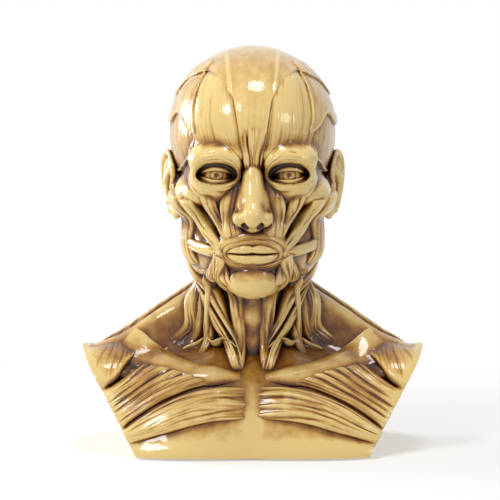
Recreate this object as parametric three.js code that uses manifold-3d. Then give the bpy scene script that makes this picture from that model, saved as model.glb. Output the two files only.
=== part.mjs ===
// Flayed head bust for the study of muscles, cast in resin at half life size.
// Millimetres, +Z up, the face looks along -Y and the bust stands on z = 0.
// Its own left side is +X. Every form is laid on one smooth skin, described by a
// distance field, and is then cut back from its neighbours by the seat gap.
import * as THREE from 'three';
import { mergeVertices } from 'three/addons/utils/BufferGeometryUtils.js';
import Module from 'manifold-3d';

const wasm = await Module();
wasm.setup();

// Driving sizes of the head.
const headHeight = 108.5;
const headWidth = 77.5;
const headDepth = 97.5;
const headBlend = 9;
const eyeRadius = 6.2;
const eyelidBlend = 1.6;
const noseBlend = 2.6;
const earHeight = 33;
const earWidth = 17;
const earThickness = 7;
const earBlend = 2;

// Driving sizes of the neck and the bust.
const chinHeight = 73;
const neckTopRadius = 21.5;
const neckFootRadius = 24.5;
const neckAxisSetback = 12;
const neckRecess = 2.4;
const bustWidth = 157;
const bustDepth = 91;
const bustSetback = 8;
const bustBlend = 10;
const footWidth = 103;
const tipHeight = 47;
const fieldBlend = 7;
const ridgeRootRadius = 12;
const ridgeTipRadius = 9.5;

// Driving sizes of the muscles, of the seats between all pieces and of the felt.
const muscleWidth = 10;
const muscleThickness = 3;
const muscleRim = 0.9;
const muscleSink = 2.4;
const seatGap = 0.3;
const feltThickness = 1;
const feltInset = 5;
const feltCornerRadius = 14;
const weld = 1e-4;
const cutterSize = 4 * bustWidth;

const vec = (x, y, z) => new THREE.Vector3(x, y, z);
const headPoint = ([x, y, z]) => vec(x * headWidth, y * headDepth, z * headHeight + chinHeight);
const headReach = ([x, y, z]) => vec(x * headWidth, y * headDepth, z * headHeight);
const bustPoint = ([x, y, z]) => vec(x * bustWidth, y * bustDepth + bustSetback, z * chinHeight);
const bustReach = ([x, y, z]) => vec(x * bustWidth, y * bustDepth, z * chinHeight);

// Forms of the head, as shares of its width, depth and height above the chin.
// Each is an egg that blends into the ones before it, mirrored across the face.
const headFormShares = [
  { name: 'cranium', at: [0, 0.06, 0.66], radii: [0.47, 0.44, 0.345] },
  { name: 'forehead', at: [0, -0.15, 0.69], radii: [0.4, 0.335, 0.26] },
  { name: 'face', at: [0, -0.17, 0.4], radii: [0.36, 0.27, 0.28] },
  { name: 'brow', at: [0.16, -0.38, 0.57], radii: [0.2, 0.1, 0.045], blend: 0.6 },
  { name: 'cheekbone', at: [0.29, -0.27, 0.42], radii: [0.13, 0.14, 0.065] },
  { name: 'arch', at: [0.39, -0.06, 0.41], radii: [0.055, 0.2, 0.055] },
  { name: 'jaw', at: [0, -0.1, 0.19], radii: [0.35, 0.31, 0.18] },
  { name: 'jaw angle', at: [0.29, -0.02, 0.22], radii: [0.09, 0.13, 0.14] },
  { name: 'mouth mound', at: [0, -0.3, 0.215], radii: [0.2, 0.17, 0.12], blend: 0.8 },
  { name: 'chin', at: [0, -0.345, 0.065], radii: [0.15, 0.1, 0.075], blend: 0.8 },
];
const socketShares = [
  { name: 'eye socket', at: [0.205, -0.5, 0.5], radii: [0.14, 0.115, 0.062], blend: 0.7 },
];
const cheekHollowShares = [
  { name: 'cheek hollow', at: [0.32, -0.36, 0.29], radii: [0.12, 0.13, 0.075], blend: 0.5 },
  { name: 'corner hollow', at: [0.19, -0.45, 0.12], radii: [0.05, 0.07, 0.05], blend: 0.3 },
  { name: 'nose-side hollow', at: [0.15, -0.47, 0.36], radii: [0.05, 0.05, 0.045], blend: 0.3 },
];

// Forms of the bust, as shares of its width, depth and the height of the chin.
const bustFormShares = [
  { name: 'chest', at: [0, 0, -0.14], radii: [0.56, 0.5, 0.84] },
  { name: 'shoulder', at: [0.43, 0, 0.33], radii: [0.17, 0.29, 0.29] },
  { name: 'shoulder blade', at: [0.25, 0.3, 0.15], radii: [0.2, 0.17, 0.35] },
  { name: 'breast', at: [0.2, -0.25, 0.05], radii: [0.22, 0.2, 0.28] },
  { name: 'lowest band', at: [0.15, -0.36, 0.02], radii: [0.24, 0.15, 0.13], blend: 0.5 },
];
const bustHollowShares = [
  { name: 'pit above the collar bone', at: [0.25, -0.2, 0.8], radii: [0.15, 0.19, 0.22], blend: 0.6 },
  { name: 'pit below the collar bone', at: [0.345, -0.34, 0.51], radii: [0.03, 0.11, 0.055], blend: 0.3 },
  { name: 'groove below the pit', at: [0.385, -0.3, 0.44], radii: [0.03, 0.09, 0.045], blend: 0.3 },
];
const neckTop = headPoint([0, 0.08, 0.28]);
const neckFoot = bustPoint([0, 0.07, 0.55]);
const ridgeRoot = bustPoint([0, 0.12, 1.06]);
const ridgeTip = bustPoint([0.47, 0.02, 0.43]);

// Distance to an egg, to a tapered limb, and how two forms join or cut softly.
function eggDistance(p, centre, radii) {
  const x = (p.x - centre.x) / radii.x;
  const y = (p.y - centre.y) / radii.y;
  const z = (p.z - centre.z) / radii.z;
  const near = Math.hypot(x, y, z);
  const slope = Math.hypot(x / radii.x, y / radii.y, z / radii.z);
  return slope === 0 ? -radii.x : (near * (near - 1)) / slope;
}
function limbDistance(p, from, to, fromRadius, toRadius) {
  const along = to.clone().sub(from);
  const offset = p.clone().sub(from);
  const share = THREE.MathUtils.clamp(offset.dot(along) / along.lengthSq(), 0, 1);
  return offset.addScaledVector(along, -share).length() - THREE.MathUtils.lerp(fromRadius, toRadius, share);
}
function joined(a, b, blend) {
  const overlap = Math.max(blend - Math.abs(a - b), 0);
  return Math.min(a, b) - (overlap * overlap) / blend / 4;
}
const cutBy = (a, b, blend) => -joined(-a, b, blend);
const folded = (p) => vec(Math.abs(p.x), p.y, p.z);

const placed = (shares, point, reach, blend) =>
  shares.map((form) => ({
    centre: point(form.at),
    radii: reach(form.radii),
    blend: blend * (form.blend ?? 1),
  }));
const sumOf = (forms, p) =>
  forms.reduce((d, f) => joined(d, eggDistance(p, f.centre, f.radii), f.blend), Infinity);
const lessOf = (d, forms, p) =>
  forms.reduce((left, f) => cutBy(left, eggDistance(p, f.centre, f.radii), f.blend), d);

const headForms = placed(headFormShares, headPoint, headReach, headBlend);
const sockets = placed(socketShares, headPoint, headReach, headBlend);
const cheekHollows = placed(cheekHollowShares, headPoint, headReach, headBlend);
const bustForms = placed(bustFormShares, bustPoint, bustReach, bustBlend);
const bustHollows = placed(bustHollowShares, bustPoint, bustReach, bustBlend);

const headSkin = (p) => lessOf(sumOf(headForms, folded(p)), sockets, folded(p));
const headCore = (p) => lessOf(headSkin(p), cheekHollows, folded(p));
const neckSkin = (p) => limbDistance(p, neckTop, neckFoot, neckTopRadius, neckFootRadius);
const neckCore = (p) => neckSkin(p) + neckRecess;
const bustSkin = (p) =>
  joined(
    sumOf(bustForms, folded(p)),
    limbDistance(folded(p), ridgeRoot, ridgeTip, ridgeRootRadius, ridgeTipRadius),
    bustBlend,
  );
const bustCore = (p) => lessOf(bustSkin(p), bustHollows, folded(p));
const skin = (p) => joined(joined(headSkin(p), neckSkin(p), fieldBlend), bustSkin(p), fieldBlend);

// Eyeballs, and the skin with the closed lids over them.
const eyeCentreShares = [0.205, -0.385, 0.5];
const eyeCentre = headPoint(eyeCentreShares);
const lidSkin = (p) => joined(skin(p), folded(p).distanceTo(eyeCentre) - eyeRadius, eyelidBlend);

// Where a straight line from outside first meets a field.
const marchSteps = 90;
const marchShare = 0.7;
function landing(field, start, direction, level = 0) {
  const p = start.clone();
  for (let i = 0; i < marchSteps; i++) p.addScaledVector(direction, (field(p) - level) * marchShare);
  return p;
}
// Slope of a field, and the nearest point of it at a level.
const probeShare = 1 / 40;
const probe = eyeRadius * probeShare;
function normalOf(field, p) {
  const at = (x, y, z) => field(vec(p.x + x, p.y + y, p.z + z));
  return vec(
    at(probe, 0, 0) - at(-probe, 0, 0),
    at(0, probe, 0) - at(0, -probe, 0),
    at(0, 0, probe) - at(0, 0, -probe),
  ).normalize();
}
const settleSteps = 4;
function settled(field, p) {
  const q = p.clone();
  for (let i = 0; i < settleSteps; i++) q.addScaledVector(normalOf(field, q), -field(q) * marchShare);
  return q;
}

// Ways to name a point of the skin: by bearing round the head or the neck and a
// height, or by where it is seen from in front, behind or above.
const farAway = 2 * bustWidth;
const heading = (bearing) => {
  const turn = THREE.MathUtils.degToRad(bearing);
  return vec(Math.sin(turn), -Math.cos(turn), 0);
};
function fromAround(axisY, bearing, z, field = skin) {
  const out = heading(bearing);
  return landing(field, vec(0, axisY, z).addScaledVector(out, farAway), out.clone().negate());
}
const onHead = (bearing, share) => fromAround(0, bearing, share * headHeight + chinHeight);
const onNeck = (bearing, share) => fromAround(neckAxisSetback, bearing, share * chinHeight);
const front = vec(0, -1, 0);
const onFace = (x, z, field = skin) =>
  landing(field, vec(x * headWidth, -farAway, z * headHeight + chinHeight), front.clone().negate());
const onChest = (x, z) => landing(skin, vec(x * bustWidth, -farAway, z * chinHeight), front.clone().negate());
const onBack = (x, z) => landing(skin, vec(x * bustWidth, farAway, z * chinHeight), front);
// Above the shoulders the march starts under the overhang of the head.
const shoulderStartShare = 1.3;
const onTop = (x, y) => landing(skin, bustPoint([x, y, shoulderStartShare]), vec(0, 0, -1));
const onCrown = (y) => landing(skin, vec(0, y * headDepth, farAway), vec(0, 0, -1));

// Closed meshes to solids and back.
function solidOf(geometry) {
  const plain = new THREE.BufferGeometry();
  plain.setAttribute('position', geometry.getAttribute('position').clone());
  if (geometry.index) plain.setIndex(geometry.index.clone());
  const merged = mergeVertices(plain, weld);
  const corners = { numProp: 3, vertProperties: merged.attributes.position.array };
  const triVerts = new Uint32Array(merged.index.array);
  const solid = new wasm.Manifold(new wasm.Mesh({ ...corners, triVerts }));
  if (solid.volume() > 0) return solid;
  return new wasm.Manifold(new wasm.Mesh({ ...corners, triVerts: triVerts.slice().reverse() }));
}
function geometryOf(solid) {
  const mesh = solid.getMesh();
  const geometry = new THREE.BufferGeometry();
  geometry.setAttribute('position', new THREE.BufferAttribute(new Float32Array(mesh.vertProperties), 3));
  geometry.setIndex(new THREE.BufferAttribute(new Uint32Array(mesh.triVerts), 1));
  return geometry;
}
const largestOf = (solid) => {
  const bodies = solid.decompose();
  return bodies.reduce((best, body) => (body.volume() > best.volume() ? body : best), bodies[0]);
};

// A rounded form: an even ball of directions, each run in to the field's surface.
function ballSolid(field, centre, reach, steps, level = 0) {
  const ball = new THREE.IcosahedronGeometry(1, steps);
  const places = ball.getAttribute('position');
  for (let i = 0; i < places.count; i++) {
    const aim = new THREE.Vector3().fromBufferAttribute(places, i).multiply(reach).normalize();
    const start = centre.clone().addScaledVector(aim, 2 * Math.max(reach.x, reach.y, reach.z));
    const end = landing(field, start, aim.clone().negate(), level);
    places.setXYZ(i, end.x, end.y, end.z);
  }
  return solidOf(ball);
}

// The value of a table of shares at a place between 0 and 1 along it.
function shareAlong(shares, u) {
  const place = u * (shares.length - 1);
  const low = Math.floor(place);
  const high = Math.min(low + 1, shares.length - 1);
  return THREE.MathUtils.lerp(shares[low], shares[high], place - low);
}

// A sheet between two edges. Each edge is a curve, u runs along them and v across.
// grow widens and thickens it all round, for cutting its neighbours back.
const swellPower = 2.5;
function sheetSolid(strip, grow) {
  const { near, far, ring = false, steps, strands, thicknessShare, liftShares = [0], field = skin } = strip;
  const thickness = thicknessShare * muscleThickness;
  const liftAt = (u) => shareAlong(liftShares, u) * muscleThickness;
  const rows = [];
  const rowCount = ring ? steps : steps + 1;
  for (let i = 0; i < rowCount; i++) {
    const u = i / steps;
    const a = near(u);
    const b = far(u);
    const width = Math.max(a.distanceTo(b), grow + muscleRim);
    const row = [];
    for (let j = 0; j <= strands; j++) {
      const v = j / strands;
      const spread = v + (v - 0.5) * 2 * (grow / width);
      const seat = settled(field, a.clone().lerp(b, spread));
      const out = normalOf(field, seat);
      const swell = Math.sqrt(1 - Math.pow(Math.abs(2 * v - 1), swellPower));
      const high = muscleRim + (thickness - muscleRim) * swell;
      row.push({
        under: seat.clone().addScaledVector(out, liftAt(u) - muscleSink - grow),
        over: seat.clone().addScaledVector(out, liftAt(u) + high + grow),
      });
    }
    rows.push(row);
  }
  if (!ring && grow > 0) {
    const push = (row, next) =>
      row.forEach((pair, j) => {
        const step = pair.under.clone().sub(next[j].under).setLength(grow);
        pair.under.add(step);
        pair.over.add(step);
      });
    push(rows[0], rows[1]);
    push(rows[rows.length - 1], rows[rows.length - 2]);
  }
  return latticeSolid(rows, ring);
}

// Joins rows of under and over points into one closed solid.
function latticeSolid(rows, ring) {
  const places = [];
  const faces = [];
  const size = rows[0].length;
  rows.forEach((row) => row.forEach(({ under, over }) => places.push(...under.toArray(), ...over.toArray())));
  const under = (i, j) => ((i % rows.length) * size + j) * 2;
  const over = (i, j) => under(i, j) + 1;
  const quad = (a, b, c, d) => faces.push(a, b, c, a, c, d);
  const last = ring ? rows.length : rows.length - 1;
  for (let i = 0; i < last; i++) {
    for (let j = 0; j + 1 < size; j++) {
      quad(over(i, j), over(i + 1, j), over(i + 1, j + 1), over(i, j + 1));
      quad(under(i, j), under(i, j + 1), under(i + 1, j + 1), under(i + 1, j));
    }
    quad(under(i, 0), under(i + 1, 0), over(i + 1, 0), over(i, 0));
    quad(under(i, size - 1), over(i, size - 1), over(i + 1, size - 1), under(i + 1, size - 1));
  }
  if (!ring)
    for (let j = 0; j + 1 < size; j++) {
      quad(under(0, j), over(0, j), over(0, j + 1), under(0, j + 1));
      quad(under(last, j), under(last, j + 1), over(last, j + 1), over(last, j));
    }
  const geometry = new THREE.BufferGeometry();
  geometry.setAttribute('position', new THREE.Float32BufferAttribute(places, 3));
  geometry.setIndex(faces);
  return solidOf(geometry);
}

const curveThrough = (points) => {
  const curve = new THREE.CatmullRomCurve3(points, false, 'centripetal');
  return (u) => curve.getPoint(THREE.MathUtils.clamp(u, 0, 1));
};
// A strap follows one path, and its widths change evenly from point to point.
function strap({ path, widthShares, widthOf = muscleWidth, steps = 8, strands = 4, ...rest }) {
  const curve = new THREE.CatmullRomCurve3(path, false, 'centripetal');
  const edge = (sign) => (u) => {
    const middle = settled(skin, curve.getPoint(u));
    const halfWidth = (shareAlong(widthShares, u) * widthOf) / 2;
    const side = curve.getTangent(u).cross(normalOf(skin, middle)).setLength(halfWidth);
    return middle.addScaledVector(side, sign);
  };
  return { near: edge(-1), far: edge(1), steps, strands, ...rest };
}
const sheet = ({ near, far, steps = 7, strands = 5, ...rest }) => ({
  near: curveThrough(near),
  far: curveThrough(far),
  steps,
  strands,
  ...rest,
});
// A ring lies round an opening seen from in front.
function ringBand({ centre, inner, outer, field, ...rest }) {
  const round = (radii, middle) => (u) => {
    const turn = u * 2 * Math.PI;
    return onFace(middle[0] + radii[0] * Math.cos(turn), middle[1] + radii[1] * Math.sin(turn), field);
  };
  return { near: round(inner, centre.inner), far: round(outer, centre.outer), ring: true, field, ...rest };
}

// Paired forms of the left side, outermost first. Each is mirrored for the right.
// Places are bearings in degrees and shares of the piece that carries them. Widths are
// shares of muscleWidth, or of widthOf, and thicknesses and lifts are of muscleThickness.
const pairedStripShares = {
  jugular_vein: strap({
    path: [onNeck(47, 1.1), onNeck(48, 0.95), onNeck(51, 0.8), onNeck(57, 0.62)],
    widthShares: [0.26, 0.42, 0.3, 0.18],
    thicknessShare: 0.67,
    liftShares: [0.6, 1.1, 1, 0.4],
    steps: 5,
    strands: 2,
  }),
  omohyoid: strap({
    path: [onNeck(14, 0.62), onNeck(28, 0.7), onNeck(42, 0.66), onNeck(56, 0.69), onNeck(70, 0.63)],
    widthShares: [0.2, 0.22, 0.22, 0.22, 0.18],
    thicknessShare: 0.5,
    liftShares: [1.17, 1.73, 1.07, 0.53, 0.3],
    steps: 8,
    strands: 2,
  }),
  sternocleidomastoid: strap({
    path: [onHead(112, 0.36), onNeck(84, 1.2), onNeck(54, 0.97), onNeck(30, 0.76), onNeck(13, 0.56)],
    widthShares: [1.7, 1.65, 1.3, 0.95, 0.65],
    thicknessShare: 1.47,
    steps: 7,
  }),
  clavicle: strap({
    path: [
      onChest(0.03, 0.49), onChest(0.11, 0.49), onChest(0.18, 0.502), onChest(0.24, 0.528),
      onChest(0.29, 0.565), onChest(0.34, 0.618), onChest(0.39, 0.67),
    ],
    widthShares: [0.85, 1.15, 1.25, 1.3, 1.35, 1.5, 1.7],
    thicknessShare: 1.05,
    steps: 8,
  }),
  orbicularis_oculi: ringBand({
    centre: { inner: [0.207, 0.5], outer: [0.213, 0.504] },
    inner: [0.088, 0.026],
    outer: [0.165, 0.13],
    thicknessShare: 0.8,
    steps: 18,
    strands: 3,
    field: lidSkin,
  }),
  frontalis: sheet({
    near: [onFace(0.06, 0.585), onFace(0.08, 0.68), onFace(0.11, 0.8), onFace(0.13, 0.9)],
    far: [onFace(0.31, 0.575), onFace(0.285, 0.68), onFace(0.28, 0.8), onFace(0.25, 0.9)],
    thicknessShare: 0.75,
    steps: 6,
    strands: 5,
  }),
  temporal_fascia: sheet({
    near: [
      onHead(34, 0.66), onHead(41, 0.68), onHead(49, 0.72), onHead(58, 0.74), onHead(78, 0.7),
      onHead(94, 0.695), onHead(108, 0.72), onHead(124, 0.7),
    ],
    far: [
      onHead(38, 0.9), onHead(46, 0.91), onHead(56, 0.92), onHead(70, 0.925), onHead(86, 0.925),
      onHead(100, 0.92), onHead(114, 0.91), onHead(128, 0.89),
    ],
    thicknessShare: 0.73,
    steps: 9,
    strands: 3,
  }),
  temporalis: sheet({
    near: [onHead(43, 0.56), onHead(64, 0.515), onHead(82, 0.5), onHead(98, 0.535), onHead(118, 0.59)],
    far: [onHead(35, 0.67), onHead(58, 0.77), onHead(80, 0.78), onHead(100, 0.75), onHead(124, 0.74)],
    thicknessShare: 0.57,
    steps: 7,
    strands: 3,
  }),
  occipitalis: sheet({
    near: [onHead(137, 0.4), onHead(158, 0.37), onHead(177, 0.385)],
    far: [onHead(133, 0.65), onHead(158, 0.67), onHead(177, 0.66)],
    thicknessShare: 0.67,
    steps: 5,
    strands: 4,
  }),
  zygomaticus_major: strap({
    path: [onFace(0.38, 0.4), onFace(0.29, 0.3), onFace(0.19, 0.215)],
    widthShares: [0.08, 0.06, 0.05],
    widthOf: headHeight,
    thicknessShare: 0.73,
    steps: 5,
    strands: 3,
  }),
  zygomaticus_minor: strap({
    path: [onFace(0.25, 0.37), onFace(0.2, 0.32), onFace(0.15, 0.262)],
    widthShares: [0.06, 0.052, 0.044],
    widthOf: headHeight,
    thicknessShare: 0.6,
    steps: 4,
    strands: 2,
  }),
  levator_labii: strap({
    path: [onFace(0.125, 0.4), onFace(0.12, 0.34), onFace(0.11, 0.275)],
    widthShares: [0.085, 0.09, 0.07],
    widthOf: headHeight,
    thicknessShare: 0.67,
    steps: 4,
    strands: 3,
  }),
  risorius: strap({
    path: [onHead(66, 0.215), onFace(0.32, 0.2), onFace(0.19, 0.188)],
    widthShares: [0.058, 0.05, 0.046],
    widthOf: headHeight,
    thicknessShare: 0.73,
    steps: 5,
    strands: 3,
  }),
  depressor_anguli: sheet({
    near: [onFace(0.165, 0.175), onFace(0.15, 0.11), onFace(0.135, 0.05)],
    far: [onFace(0.2, 0.18), onFace(0.25, 0.12), onFace(0.275, 0.06)],
    thicknessShare: 0.8,
    steps: 5,
    strands: 3,
  }),
  masseter: sheet({
    near: [onHead(49, 0.4), onHead(52, 0.25), onHead(49, 0.12)],
    far: [onHead(86, 0.43), onHead(84, 0.25), onHead(76, 0.12)],
    thicknessShare: 1,
    steps: 5,
    strands: 4,
  }),
  sternohyoid: strap({
    path: [onNeck(14, 1.26), onNeck(16, 1.02), onNeck(12, 0.6)],
    widthShares: [0.7, 0.7, 0.6],
    thicknessShare: 1,
    steps: 6,
    strands: 3,
  }),
  scalene: sheet({
    near: [onNeck(58, 1.12), onNeck(52, 0.88), onNeck(48, 0.62)],
    far: [onNeck(106, 1.1), onNeck(92, 0.9), onNeck(78, 0.66)],
    thicknessShare: 0.87,
    steps: 5,
    strands: 4,
  }),
  trapezius: sheet({
    near: [
      onHead(177, 0.38), onNeck(177, 1.2), onBack(0.01, 0.95), onBack(0.008, 0.6),
      onBack(0.008, 0.12),
    ],
    far: [
      onHead(142, 0.36), onNeck(116, 1.25), onTop(0.2, 0.11), onTop(0.34, 0.06), onTop(0.45, 0.07),
      onBack(0.42, 0.46), onBack(0.2, 0.26), onBack(0.03, 0.08),
    ],
    thicknessShare: 1,
    steps: 18,
    strands: 9,
  }),
  deltoid: sheet({
    near: [
      onChest(0.35, 0.615), onChest(0.4, 0.655), onTop(0.46, -0.04), onTop(0.46, 0.1), onBack(0.43, 0.46),
    ],
    far: [
      onChest(0.355, 0.55), onChest(0.41, 0.425), onChest(0.5, 0.35), onBack(0.5, 0.3), onBack(0.42, 0.2),
    ],
    thicknessShare: 0.87,
    steps: 9,
    strands: 5,
  }),
  pectoralis_clavicular: sheet({
    near: [onChest(0.31, 0.56), onChest(0.345, 0.515), onChest(0.385, 0.455), onChest(0.44, 0.385)],
    far: [
      onChest(0.05, 0.46), onChest(0.1, 0.44), onChest(0.17, 0.405), onChest(0.255, 0.33),
      onChest(0.32, 0.245), onChest(0.39, 0.125),
    ],
    thicknessShare: 1,
    steps: 9,
    strands: 6,
  }),
  pectoralis_sternal: sheet({
    near: [
      onChest(0.015, 0.425), onChest(0.1, 0.42), onChest(0.17, 0.39), onChest(0.255, 0.315),
      onChest(0.32, 0.23), onChest(0.39, 0.11),
    ],
    far: [
      onChest(0.015, 0.245), onChest(0.11, 0.225), onChest(0.17, 0.2), onChest(0.235, 0.16),
      onChest(0.3, 0.12), onChest(0.37, 0.07),
    ],
    thicknessShare: 1,
    steps: 9,
    strands: 5,
  }),
  infraspinatus: sheet({
    near: [onBack(0.05, 0.2), onBack(0.22, 0.32), onBack(0.42, 0.52)],
    far: [onBack(0.08, 0.04), onBack(0.25, 0.05), onBack(0.42, 0.2)],
    thicknessShare: 0.87,
    steps: 6,
    strands: 4,
  }),
};

// Single forms on the middle line.
const middleStripShares = {
  upper_lip: strap({
    path: [
      onFace(-0.15, 0.191), onFace(-0.075, 0.203), onFace(0, 0.2), onFace(0.075, 0.203),
      onFace(0.15, 0.191),
    ],
    widthShares: [0.017, 0.036, 0.035, 0.036, 0.017],
    widthOf: headHeight,
    thicknessShare: 1.07,
    steps: 10,
    strands: 3,
  }),
  lower_lip: strap({
    path: [
      onFace(-0.135, 0.18), onFace(-0.07, 0.166), onFace(0, 0.161), onFace(0.07, 0.166),
      onFace(0.135, 0.18),
    ],
    widthShares: [0.017, 0.036, 0.043, 0.036, 0.017],
    widthOf: headHeight,
    thicknessShare: 1.07,
    steps: 10,
    strands: 3,
  }),
  orbicularis_oris: ringBand({
    centre: { inner: [0, 0.184], outer: [0, 0.19] },
    inner: [0.15, 0.028],
    outer: [0.205, 0.094],
    thicknessShare: 1,
    steps: 18,
    strands: 3,
    field: skin,
  }),
  mentalis: strap({
    path: [onFace(-0.125, 0.068), onFace(0, 0.062), onFace(0.125, 0.068)],
    widthShares: [0.07, 0.095, 0.07],
    widthOf: headHeight,
    thicknessShare: 0.93,
    steps: 6,
  }),
  procerus: sheet({
    near: [onFace(-0.035, 0.52), onFace(-0.06, 0.58), onFace(-0.08, 0.66), onFace(-0.1, 0.75)],
    far: [onFace(0.035, 0.52), onFace(0.06, 0.58), onFace(0.08, 0.66), onFace(0.1, 0.75)],
    thicknessShare: 0.8,
    steps: 4,
    strands: 3,
  }),
  galea: strap({
    path: [
      onFace(0, 0.68), onFace(0, 0.8), onFace(0, 0.92), onCrown(-0.1),
      onCrown(0.2), onHead(180, 0.85), onHead(180, 0.7), onHead(180, 0.62),
    ],
    widthShares: [1.4, 1.9, 2.3, 5.6, 7.4, 7.5, 7.2, 6.8],
    thicknessShare: 0.75,
    steps: 13,
    strands: 5,
  }),
};

// The nose, an ear and the voice box are rounded forms of their own.
const noseFormShares = [
  { name: 'tip', at: [0, -0.56, 0.34], radii: [0.06, 0.05, 0.038] },
  { name: 'bridge', at: [0, -0.495, 0.43], radii: [0.048, 0.068, 0.13] },
  { name: 'wing', at: [0.074, -0.505, 0.322], radii: [0.04, 0.055, 0.03] },
  { name: 'column', at: [0, -0.53, 0.31], radii: [0.026, 0.045, 0.02] },
  { name: 'root', at: [0, -0.46, 0.355], radii: [0.09, 0.06, 0.07] },
];
const nostrilShares = [{ name: 'nostril', at: [0.042, -0.53, 0.29], radii: [0.025, 0.034, 0.016], blend: 0.3 }];
const noseForms = placed(noseFormShares, headPoint, headReach, noseBlend);
const nostrils = placed(nostrilShares, headPoint, headReach, noseBlend);
const noseMiddle = headPoint([0, -0.48, 0.37]);
const noseReach = headReach([0.12, 0.13, 0.16]);
const noseField = (p) => lessOf(sumOf(noseForms, folded(p)), nostrils, folded(p));

// Ear shares run outward, backward and up from its middle.
const earBearingDegrees = 96;
const earHeightShare = 0.44;
const earLeanDegrees = 14;
const earFlareDegrees = -24;
const earFormShares = [
  { name: 'shell', at: [-0.1, 0, 0.06], radii: [0.42, 0.48, 0.42] },
  { name: 'lobe', at: [-0.05, -0.16, -0.36], radii: [0.36, 0.24, 0.16] },
  { name: 'root', at: [-0.5, -0.25, 0], radii: [0.5, 0.25, 0.36] },
];
const earHollowShares = [
  { name: 'bowl', at: [0.3, -0.06, -0.06], radii: [0.4, 0.24, 0.2], blend: 0.6 },
  { name: 'boat', at: [0.36, 0.06, 0.24], radii: [0.34, 0.26, 0.15], blend: 0.6 },
];
const earReach = ([x, y, z]) => vec(x * earThickness, y * earWidth, z * earHeight);
const earHalfReach = earReach([0.5, 0.5, 0.5]);
const earForms = placed(earFormShares, earReach, earReach, earBlend);
const earHollows = placed(earHollowShares, earReach, earReach, earBlend);
const earTurn = new THREE.Quaternion()
  .setFromAxisAngle(vec(0, 0, 1), THREE.MathUtils.degToRad(earFlareDegrees))
  .multiply(new THREE.Quaternion().setFromAxisAngle(vec(1, 0, 0), THREE.MathUtils.degToRad(-earLeanDegrees)));
const earPlace = onHead(earBearingDegrees, earHeightShare).add(vec(earThickness / 2, 0, 0));
const earField = (p) => {
  const local = p.clone().sub(earPlace).applyQuaternion(earTurn.clone().invert());
  return lessOf(sumOf(earForms, local), earHollows, local);
};

const larynxFormShares = [
  { name: 'hyoid', at: [0, -0.165, 1.24], radii: [0.065, 0.07, 0.05] },
  { name: 'thyroid shield', at: [0, -0.145, 1.06], radii: [0.06, 0.125, 0.16] },
  { name: 'cricoid', at: [0, -0.13, 0.86], radii: [0.058, 0.12, 0.16] },
  { name: 'windpipe', at: [0, -0.11, 0.68], radii: [0.058, 0.125, 0.2] },
];
const larynxForms = placed(larynxFormShares, bustPoint, bustReach, noseBlend);
const larynxMiddle = bustPoint([0, -0.12, 0.98]);
const larynxReach = bustReach([0.06, 0.1, 0.35]);
const larynxField = (p) => sumOf(larynxForms, p);

// The blocks that saw the bust off: the table plane and the two slanted sides.
function blockBelow(point, outward) {
  const block = new THREE.BoxGeometry(cutterSize, cutterSize, cutterSize);
  const turn = new THREE.Quaternion().setFromUnitVectors(vec(0, 0, 1), outward.clone().normalize());
  block.translate(0, 0, cutterSize / 2);
  block.applyQuaternion(turn);
  block.translate(point.x, point.y, point.z);
  return solidOf(block);
}
const sideRun = (bustWidth - footWidth) / 2;
const sideCut = (sign) => blockBelow(vec((sign * footWidth) / 2, 0, 0), vec(sign * tipHeight, 0, -sideRun));
const sawBlocks = [blockBelow(vec(0, 0, feltThickness), vec(0, 0, -1)), sideCut(1), sideCut(-1)];
const sawn = (solid) => sawBlocks.reduce((left, block) => left.subtract(block), solid);

// Colours of the varnished resin, its dark recesses and the felt.
const resin = { color: 0xdcbf7c, roughness: 0.28, metalness: 0 };
const finishes = {
  raised_resin: resin,
  recessed_resin: { ...resin, color: 0x8a6228, roughness: 0.35 },
  eye_resin: { ...resin, color: 0xa98442, roughness: 0.15 },
  felt: { color: 0x3c3a34, roughness: 0.95, metalness: 0 },
};
const bust = new THREE.Group();
function addPiece(name, solid, finish) {
  const mesh = new THREE.Mesh(geometryOf(largestOf(solid)), new THREE.MeshStandardMaterial(finishes[finish]));
  mesh.name = name;
  bust.add(mesh);
}

// How finely each rounded form is divided.
const headSteps = 6;
const neckSteps = 2;
const bustSteps = 6;
const noseSteps = 4;
const earSteps = 4;
const larynxSteps = 3;
const eyeSegments = 12;
const eyeRowSegments = 8;

// Cores: each is made once at its surface and once a seat gap larger.
// The ball of the head starts near the face, which gives the face the smaller facets.
const headMiddle = headPoint([0, -0.15, 0.45]);
const headBallReach = headReach([0.5, 0.5, 0.5]);
const neckMiddle = neckTop.clone().lerp(neckFoot, 0.5);
const neckBallReach = vec(neckFootRadius, neckFootRadius, neckTop.distanceTo(neckFoot) / 2 + neckFootRadius);
const bustMiddle = bustPoint([0, 0.05, 0.3]);
const bustBallReach = bustReach([0.5, 0.5, 0.6]);
const headAt = (level) => ballSolid(headCore, headMiddle, headBallReach, headSteps, level);
const bustAt = (level) => ballSolid(bustCore, bustMiddle, bustBallReach, bustSteps, level);
const neckAt = (level) => ballSolid(neckCore, neckMiddle, neckBallReach, neckSteps, level);
const eyeballAt = (sign, grow) => {
  const ball = new THREE.SphereGeometry(eyeRadius + grow, eyeSegments, eyeRowSegments);
  ball.translate(sign * eyeCentre.x, eyeCentre.y, eyeCentre.z);
  return solidOf(ball);
};
const mirrored = (solid) => solid.mirror([1, 0, 0]);

// Lays the pieces from the outside in, each cut back from all laid before it.
const laid = [];
function lay(name, made, seat, finish = 'raised_resin') {
  const grown = seat.add(made);
  const box = grown.boundingBox();
  const meets = (other) => [0, 1, 2].every((k) => box.min[k] <= other.max[k] && box.max[k] >= other.min[k]);
  const free = laid.reduce((left, other) => (meets(other.box) ? left.subtract(other.grown) : left), made);
  addPiece(name, sawn(free), finish);
  laid.push({ box, grown });
}

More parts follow.
